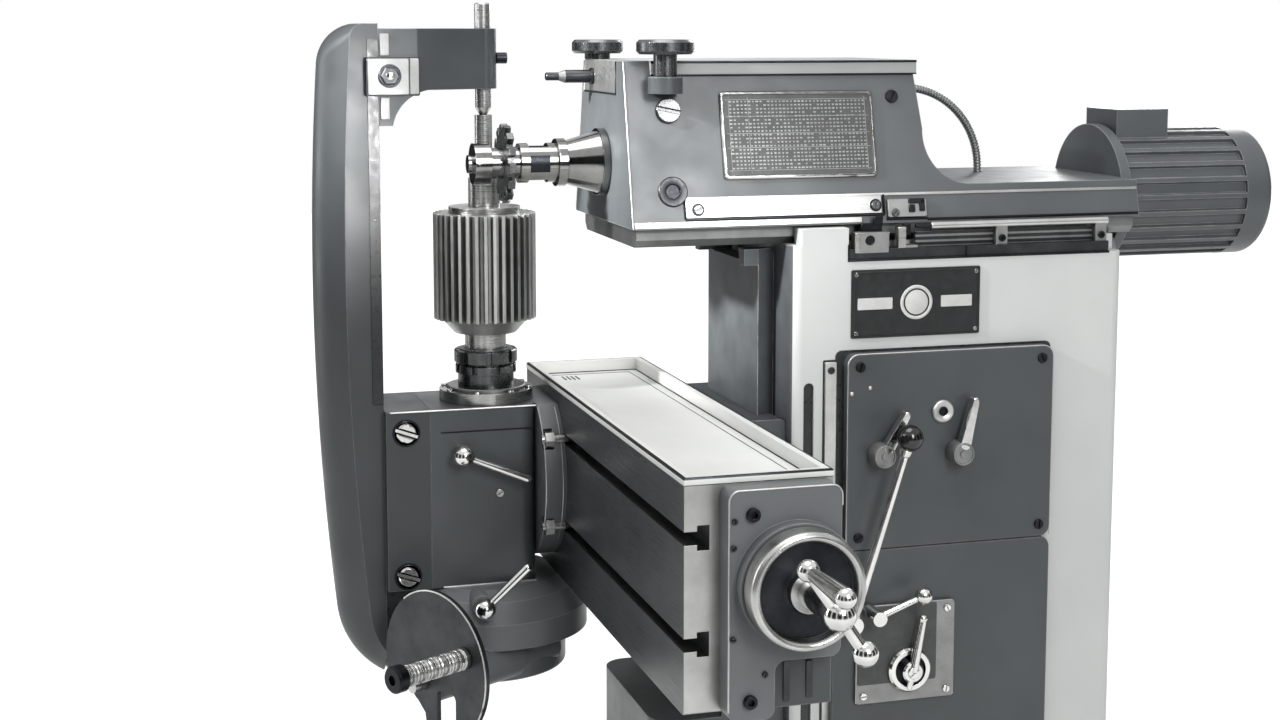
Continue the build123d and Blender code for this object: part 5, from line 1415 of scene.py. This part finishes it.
# %% [markdown]
# ## Table and tray
#
# The table's top is a shallow tray for the cutting oil. Its sheet liner laps over the rim and is painted
# almost white; the thin dark lines above and below the lap and in the folds at the floor are painted shade.
# The corners of the castings are rubbed bright, which the picture shows as thin pale lines, so a fine bead of
# bare metal is laid along them; the bead is also a painted highlight on the rounded edges.

# %% Beads and sheets
def bead(bm, points, radius, finish=0, sides=6):
    """A thin round bead along a path of points in mm."""
    path = [Vector(p) for p in points]
    off_axis = (0.31, 0.17, 0.94)
    rings = []
    for point, before, after in zip(path, path[:1] + path, path[1:] + path[-1:]):
        rings.append(lay(bm, spot(*point, axis=after - before, up=off_axis), circle(radius, sides)))
    skin(bm, rings, finish)


def over_the_top(x, front, back, low_front, low_back, top, corner, steps=8):
    """The path up the front edge of an upright plate, over its round corners and down its back edge."""
    path = [(x, front, low_front)]
    for centre_y, first in ((front + corner, math.pi), (back - corner, math.pi / 2)):
        for across, rise in around(corner, first, first - math.pi / 2, steps):
            path.append((x, centre_y + across, top - corner + rise))
    path.append((x, back, low_back))
    return path


def sheet(bm, place, width, height, profile, finishes):
    """Bent sheet round a rectangle: (inset, level, corner radius) steps, closed by a floor."""
    rings = []
    for inset, level, corner in profile:
        outline = rounded(width - 2 * inset, height - 2 * inset, corner, 3)
        rings.append(lay(bm, place, outline, level))
    skin(bm, rings, finishes, foot=False)


tray_paint = enamel("white enamel on a sheet tray", "#e6e7e3", "#efefec", "#f2f2f0", 0.5, wear=0.3)
print("finishes made:", len(bpy.data.materials))


# %% Tray liner and table end
def dress_tray():
    """The white liner that laps over the rim, its dark fold lines of painted shade, and its drain."""
    white, dark = range(2)
    low, high = box_mm("table_slide")
    middle = (low + high) / 2
    place = spot(middle.x, middle.y, high.z, UP, (0, 1, 0))
    lap, rim, deep = 7.0, 9.0, 16.0
    floor = 0.5 - deep
    profile = [(0.4, -lap - 1.4, 0.6), (-0.7, -lap, 0.6), (-0.7, -1.6, 0.6), (0.5, 0.5, 0.6), (2.6, 0.5, 1.0)]
    profile += [(rim - 0.6, 0.5, 2.0), (rim + 0.6, -0.4, 2.0), (rim + 1.4, floor + 1.5, 3.0)]
    profile += [(rim + 2.4, floor + 0.4, 3.0), (rim + 14.0, floor + 0.4, 4.0), (rim + 15.0, floor, 4.0)]
    # The dark bands are painted shade under the lap and in the folds of the sheet.
    finishes = [dark, white, dark, dark, white, white, white, dark, white, dark, white]
    bm = bmesh.new()
    sheet(bm, place, high.x - low.x, high.y - low.y, profile, finishes)
    drain, bars, bar_pitch = spot(-177.0, -361.0, high.z + floor, UP), 4, 6.0
    for k in range(bars):
        bar = drain @ Matrix.Translation((0, bar_pitch * (k - (bars - 1) / 2), 0))
        plate(bm, bar, 26.0, 2.2, 1.0, -0.3, 0.4, dark, steps=3)
    piece("tray_liner", bm, [tray_paint, blackened], "table_unit")


def dress_table_end():
    """The worn bright edge of the end bracket, also a painted highlight on its rounded edge, and the dark
    cover with two strips in the bracket's step.
    """
    bare, painted, dull = range(3)
    low, high = box_mm("end_bracket")
    slide_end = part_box("table_slide")[1][0] / MM
    face, back, corner = slide_end + 28.0, -251.0, 11.0
    step_y, step_z, cover_thick = -322.0, 905.0, 3.0
    middle = (low.z + step_z) / 2
    bm = bmesh.new()
    # A bright bead on the rounded edge: worn metal and a painted highlight.
    edge = over_the_top(face, low.y + 0.4, back, low.z + corner, high.z - 2 * corner, high.z - 0.4, corner)
    bead(bm, edge, 1.0, bare)
    cover = spot(slide_end, (step_y + back) / 2 + 1.0, middle)
    plate(bm, cover, back - step_y - 2.0, step_z - low.z - 4.0, 2.0, -0.3, cover_thick, painted, 0.8, 3)
    for y, tall in ((-301.0, 44.0), (-276.0, 40.0)):
        plate(bm, spot(slide_end + cover_thick, y, middle), 7.0, tall, 1.0, -0.3, 2.5, dull, 0.5)
    finishes = [worn_iron_and_highlight, panel_enamel, dull_steel]
    piece("table_end_trim", bm, finishes, "table_unit")


dress_tray()
dress_table_end()


# %% [markdown]
# The work spindle ends in a flange with a ring of screws. Over it sits the collet nut: two notched rings on
# a plain neck, of dark tool steel, with a satin lip and collar.

# %% Collet nut and flange
def notched(radius, depth, count, share, steps=5):
    """The outline of a ring with notches for a hook spanner."""
    outline = []
    pitch = 2 * math.pi / count
    for i in range(count):
        outline += around(radius, pitch * i, pitch * (i + 1 - share), steps)
        outline += around(radius - depth, pitch * (i + 1 - share), pitch * (i + 1), 2)
    return outline


def dress_collet_nut():
    """Two notched rings over a neck, and the stepped collar and screws of the flange under it."""
    tool, satin, bright = range(3)
    low, high = box_mm("collet_nut")
    axis = joint_places["work_turn"]
    place = spot(axis.x, axis.y, low.z, UP)
    radius = (high.x - low.x) / 2
    tall = high.z - low.z
    neck, bore, lip, collar, shoulder = 35.5, 24.1, 27.1, 50.0, 21.0
    bm = bmesh.new()
    body = [(bore, 0.0), (neck, 0.0), (neck, shoulder), (neck - 1.5, shoulder), (neck - 1.5, tall - 1.0)]
    turn(bm, place, body + [(lip, tall - 1.0), (bore, tall - 2.0), (bore, 0.0)], tool)
    ring = [(radius - 6.5, tall - 3.0), (radius - 5.5, tall), (lip, tall), (lip, tall - 3.0)]
    turn(bm, place, ring + ring[:1], satin)
    notch, notches, share, twist = 4.0, 8, 0.22, 0.3
    upper, lower = (34.0, tall - 1.0), (20.0, 31.0)
    saw(bm, place, notched(radius, notch, notches, share), *upper, tool, 1.6)
    turned = place @ Matrix.Rotation(twist, 4, "Z")
    saw(bm, turned, notched(radius - 1.3, notch, notches, share), *lower, tool, 1.2)
    step = [(neck, 0.0), (collar, 0.0), (collar, 3.2), (collar - 1.5, 4.2), (neck, 4.2), (neck, 0.0)]
    turn(bm, place, step, [tool, satin, satin, tool, tool], 64)
    screws, screw_circle, first_angle = 8, 54.6, -68.0
    for i in range(screws):
        angle = math.radians(first_angle + 360.0 / screws * i)
        x, y = axis.x + screw_circle * math.cos(angle), axis.y + screw_circle * math.sin(angle)
        slotted_head(bm, spot(x, y, low.z, UP), 4.2, 2.6, 20 * i, bright)
    finishes = [tool_steel, satin_plate, plated]
    piece("collet_nut_dressed", bm, finishes, "work_unit", ["collet_nut"])


dress_collet_nut()


# %% [markdown]
# ## Trip rail and headstock foot
#
# In the step at the top of the column lies the trip rail, which stops the headstock's feed. It is a small
# world of its own: a dark stepped rail, a bright round bar with a turned-down end, a dog block with a hole,
# a trip finger, and a stop block with a foot. A lug with a hook on the headstock meets them. The solid rail
# is plain, so it is drawn again here with these pieces in its place.

# %% Trip rail
def box_piece(bm, low, high, finish, ease=0.6):
    """A block between two corners in mm, with its outer edges eased."""
    middle = (Vector(low) + Vector(high)) / 2
    place = spot(low[0], middle.y, middle.z)
    plate(bm, place, high[1] - low[1], high[2] - low[2], ease, 0.0, high[0] - low[0], finish, ease)


def dress_trip_rail():
    """The stepped rail, its bar, dog block, finger and stop block, in place of the plain rail."""
    satin, ground, dull, dark = range(4)
    low, high = box_mm("trip_rail")
    foot_tall, step_y, step_thick = 13.0, -8.0, 5.0
    dog_front, dog_back, dog_top, dog_face = -91.0, -46.0, low.z + 33.0, high.x - 0.5
    stop_front, stop_back, stop_face = -34.0, -24.0, high.x - 1.5
    near, shelf = low.x + 3.0, low.z + 10.0
    blocks = [
        ((low.x, low.y, low.z), (high.x - 1.0, high.y, low.z + foot_tall), dull, 0.6),
        ((low.x, step_y, low.z + foot_tall), (low.x + step_thick, high.y, low.z + 31.0), satin, 0.6),
        ((high.x - 1.4, 54.0, low.z + 0.4), (high.x - 0.4, 56.5, low.z + foot_tall - 0.2), dark, 0.3),
        ((near, dog_front, low.z + 7.5), (dog_face, dog_back, dog_top), satin, 1.2),
        ((dog_face - 0.4, dog_front + 0.4, low.z + 8.5), (dog_face + 0.4, -85.0, dog_top - 1), ground, 0.3),
        ((near, -80.0, dog_top - 1.0), (low.x + 9.0, -53.0, dog_top + 10.0), dark, 0.8),
        ((low.x + 7.0, -64.0, dog_top + 8.0), (low.x + 11.0, -53.0, dog_top + 19.0), dark, 0.8),
        ((near, stop_front, shelf), (stop_face, stop_back, high.z + 2.0), ground, 0.8),
        ((near, stop_back - 1.0, shelf), (stop_face, step_y, shelf + 6.0), satin, 0.8),
        ((low.x + 2.0, stop_back, high.z - 9.0), (low.x + 8.0, -15.0, high.z + 5.0), dark, 0.8),
    ]
    step_face = low.x + step_thick
    for z, tall in ((low.z + 15.0, 3.0), (low.z + 21.0, 3.5), (low.z + 27.5, 3.0)):
        blocks.append(((step_face - 0.4, step_y, z), (step_face + 1.0, high.y, z + tall), dull, 0.3))
    bm = bmesh.new()
    holder_face, holder_wide = high.x - 3.0, 16.0
    for y in (96.0, high.y - 18.0):
        blocks.append(((low.x, y, low.z + 12.0), (holder_face, y + holder_wide, high.z + 1.0), satin, 1.0))
        bolt = spot(holder_face - 0.2, y + holder_wide / 2, low.z + 21.0)
        socket_head(bm, bolt, 4.5, 3.0, dark)
    for block in blocks:
        box_piece(bm, *block)
    bar_x, bar_z, bar, bar_end = high.x - 6.0, high.z + 2.5, 4.5, 2.8
    rod(bm, (bar_x, 10.0, bar_z), (bar_x, high.y, bar_z), bar, ground)
    rod(bm, (bar_x, -10.0, bar_z), (bar_x, 11.0, bar_z), bar_end, dark)
    hole_y, hole_z, rim = -71.5, low.z + 23.3, 6.0
    hole = [(0, -0.5), (rim, -0.5), (rim, 0.7), (rim - 0.6, 0.7), (rim - 1.0, 0.2), (0, 0.2)]
    turn(bm, spot(dog_face, hole_y, hole_z), hole, dark)
    # Two dark lines at the step's edge and under the rail: painted shadow.
    edge_x, end_y, foot_z = high.x + 0.1, low.y - 0.3, low.z - 0.4
    bead(bm, [(edge_x, end_y, low.z - 1.5), (edge_x, end_y, low.z + 19.0)], 1.1, dark)
    bead(bm, [(edge_x, low.y, foot_z), (edge_x, high.y, foot_z)], 1.5, dark)
    finishes = [satin_plate, ground_along_y, dull_steel, blackened]
    piece("trip_rail_dressed", bm, finishes, "column_frame", ["trip_rail"])


dress_trip_rail()


# %% Lug, hook and lines on the headstock
def dress_headstock_foot():
    """The feed lug with its hook and bolt, and the dark joint lines round the gib and along the cap."""
    satin, dark, tool = range(3)
    lug_rise, line_rise, end_rise = 5.0, 0.2, 0.6
    bm = bmesh.new()
    plate(bm, on_side(-17.5, 1323.0), 51.0, 22.0, 2.0, -0.5, lug_rise, satin, 0.8, 3)
    for y, z, wide, tall in ((-5.5, 1331.0, 21.0, 6.0), (1.5, 1325.5, 7.0, 14.0), (-12.0, 1322.0, 8.0, 9.0)):
        plate(bm, on_side(y, z, lug_rise - 0.2), wide, tall, 1.0, -0.4, 2.4, dark, 0.5)
    slotted_head(bm, on_side(-34.0, 1317.5, lug_rise), 5.0, 2.4, 40, tool)
    for front, back, z in ((-298.0, -46.0, 1316.6), (10.0, 298.0, 1309.5), (-44.0, 10.0, 1310.8)):
        bead(bm, [on_side(y, z, line_rise).translation for y in (front, back)], 1.7, dark)
    for y, thick in ((-46.5, 1.6), (-299.0, 1.1)):
        bead(bm, [on_side(y, z, end_rise).translation for z in (1317.0, 1340.0)], thick, dark)
    low, high = box_mm("headstock_cap")
    for z, thick in ((low.z + 0.3, 0.9), (high.z - 1.6, 1.5)):
        for x in (low.x - 0.1, high.x + 0.1):
            bead(bm, [(x, low.y, z), (x, high.y, z)], thick, dark)
    finishes = [satin_plate, blackened, tool_steel]
    piece("headstock_foot", bm, finishes, "headstock_unit")


def dress_headstock_edges():
    """The worn bright edges at the front of the headstock, also a painted highlight on its corners."""
    bm = bmesh.new()
    front, foot_z, top_z = -362.9, 1307.0, 1500.0
    for side in (-1, 1):
        edge = [(side * (side_foot - (z - side_foot_z) * side_lean.z), front, z) for z in (foot_z, top_z)]
        bead(bm, edge, 0.9)
    piece("headstock_edges", bm, [worn_iron_and_highlight], "headstock_unit")


dress_headstock_foot()
dress_headstock_edges()


# %% Clamp block and knob boss
def dress_clamp_block():
    """The light clamp block with painted shadow in the seam round it, and its stepped dark pin."""
    pale, dull, satin, dark = range(4)
    low, high = box_mm("clamp_block")
    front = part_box("headstock")[0][1] / MM
    bm = bmesh.new()
    box_piece(bm, (low.x, front, low.z), (high.x, high.y, high.z), pale, 0.8)
    # A dark line round the block's foot and side: painted shadow in the seam.
    seam = [(low.x, low.z), (high.x, low.z), (high.x, high.z - 1.2)]
    bead(bm, [(x, front - 0.2, z) for x, z in seam], 1.2, dark)
    reach, pin_x, pin_rise = front - low.y, -50.0, 19.0
    collar, thick, slim = 10.5, 8.0, 5.0
    pin = [(0, -1.0), (collar, -1.0), (collar, 3.0), (thick, 4.0), (thick, reach - 24.0)]
    pin += [(slim, reach - 16.0), (slim, reach - 1.0), (slim - 0.8, reach), (0, reach)]
    place = spot(pin_x, front, low.z + pin_rise, FORWARD)
    turn(bm, place, pin, [dull] * 4 + [satin] + [dull] * 3)
    finishes = [etched_plate, dull_steel, satin_plate, blackened]
    piece("clamp_block_dressed", bm, finishes, "headstock_unit", ["clamp_block"])


def dress_knob_boss():
    """A dark sleeve round the boss that carries the side knob."""
    low, high = box_mm("side_knob")
    boss_low, tall, radius = 1464.0, 20.0, 20.0
    outer, wall, foot = radius + 0.5, radius - 4.0, (radius - 0.4, 0.0)
    sleeve = [foot, (outer, 0.2), (outer, tall - 0.8), (radius - 0.6, tall)]
    sleeve += [(wall, tall), (wall, tall - 0.5), foot]
    bm = bmesh.new()
    turn(bm, spot((low.x + high.x) / 2, (low.y + high.y) / 2, boss_low, UP), sleeve)
    piece("knob_boss_sleeve", bm, [dark_enamel], "headstock_unit")


dress_clamp_block()
dress_knob_boss()


# %% [markdown]
# ## Rubbed and highlit edges
#
# Oily gloves and swarf keep some edges bright: the near edge of the dividing head's cover, the ledge over the
# worm housing, both rims of the swivel flange, the rim of the quadrant plate, and the top edges of the
# control panels. Each is a fine bead of bare metal, laid on the edge of the solid, that is wear and a painted
# highlight on the rounded edge at once. The feed plate gets a dark field, and the arbor two dark seats for a
# spanner.

# %% Edges of the dividing head and the quadrant
x_axis, z_axis = Vector((1, 0, 0)), Vector(UP)


def arc(centre, side, radius, start, end, steps=40):
    """Points on a circle in the plane of a level axis and the upright, between two angles in degrees."""
    points = around(radius, math.radians(start), math.radians(end), steps)
    return [centre + side * p.x + z_axis * p.y for p in points]


def dress_head_edges():
    """Bright beads along the head's cover, its foot and the rims of the swivel flange: worn metal and a
    painted highlight.
    """
    low, high = box_mm("head_body")
    arm_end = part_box("support_arm")[1][1] / MM
    head_end = high.y - 2.0
    bm = bmesh.new()
    # Bright beads: worn metal and a painted highlight on the edges.
    bead(bm, [(high.x, y, high.z - 0.8) for y in (arm_end - 50.0, head_end)], 1.3)
    bead(bm, [(high.x - 0.4, y, low.z + 0.5) for y in (arm_end + 14.0, head_end)], 1.5)
    low, high = box_mm("swivel_flange")
    middle, radius = (low.x + high.x) / 2, (high.x - low.x) / 2
    for y, thick in ((low.y + 0.4, 1.0), (high.y - 5.0, 0.7)):
        bead(bm, arc(Vector((middle, y, low.z + radius)), x_axis, radius, -52.0, 54.0), thick)
    piece("head_edges", bm, [worn_iron_and_highlight], "table_unit")


def dress_quadrant_rim():
    """The bright rim of the quadrant plate: worn metal and a painted highlight."""
    way = joint_axes["quadrant_swing"].normalized()
    side = Vector((way.y, -way.x, 0.0))
    if side.x < 0:
        side = -side
    pivot = joint_places["quadrant_swing"]
    low, high = box_mm("quadrant_plate")
    half_thick, aside, above, radius = 3.0, 21.0, 26.0, 91.4
    face = pivot + way * (((low + high) / 2 - pivot).dot(way) + half_thick)
    bm = bmesh.new()
    bead(bm, arc(face + side * aside + z_axis * above, side, radius, 128.0, -62.0), 1.1)
    piece("quadrant_rim", bm, [worn_iron_and_highlight], "quadrant")


dress_head_edges()
dress_quadrant_rim()


# %% Edges of the panels, and seats on the arbor
def dress_panel_edges():
    """The worn bright top edges of the control panels, also a painted highlight, two small rivets, and the
    dark field on the feed plate.
    """
    bare, dark = range(2)
    bm = bmesh.new()
    set_in = 0.6
    for node, corner in (("speed_panel", 14.0), ("feed_plate", 4.0)):
        low, high = box_mm(node)
        x, front, back = high.x - 0.9, low.y + set_in, high.y - set_in
        foot = low.z + 2.0
        # A bright bead on each rounded top edge: worn metal and a painted highlight.
        bead(bm, over_the_top(x, front, back, foot, foot, high.z - set_in, corner), 0.8, bare)
    radius = 2.6
    rivet = [(0, -0.5), (radius, -0.5), (radius, 0.6), (radius - 1.0, 1.5), (0, 1.8)]
    for y, z in ((-75.0, 1110.0), (-98.5, 1104.0)):
        turn(bm, spot(panel_face, y, z), rivet, bare, 20)
    low, high = box_mm("feed_plate")
    bare_side, bare_foot, rim = 24.0, 24.0, 1.5
    field_back, field_low = high.y - bare_side, low.z + bare_foot
    wide, tall = field_back - low.y - rim, high.z - rim - field_low
    field = spot(high.x, field_back - wide / 2, field_low + tall / 2)
    plate(bm, field, wide, tall, 3.0, -0.3, 0.35, dark, 0.1, 3)
    piece("panel_edges", bm, [worn_iron_and_highlight, chart_lacquer], "column_frame")


def dress_arbor_sides():
    """The two dark spanner seats on the sides of the arbor's body."""
    axis = joint_places["spindle_turn"]
    radius, half_angle, steps = 24.0, math.radians(24.6), 10
    rise, depth = 0.3, 0.4
    seat_start, seat_length = -435.0, 24.0
    place = spot(axis.x, seat_start, axis.z, FORWARD)
    bm = bmesh.new()
    for side in (0.0, math.pi):
        outline = around(radius + rise, side - half_angle, side + half_angle, steps)
        outline += around(radius - depth, side + half_angle, side - half_angle, steps)
        saw(bm, place, outline, 0.0, seat_length)
    piece("arbor_seats", bm, [blackened], "spindle_unit")


dress_panel_edges()
dress_arbor_sides()
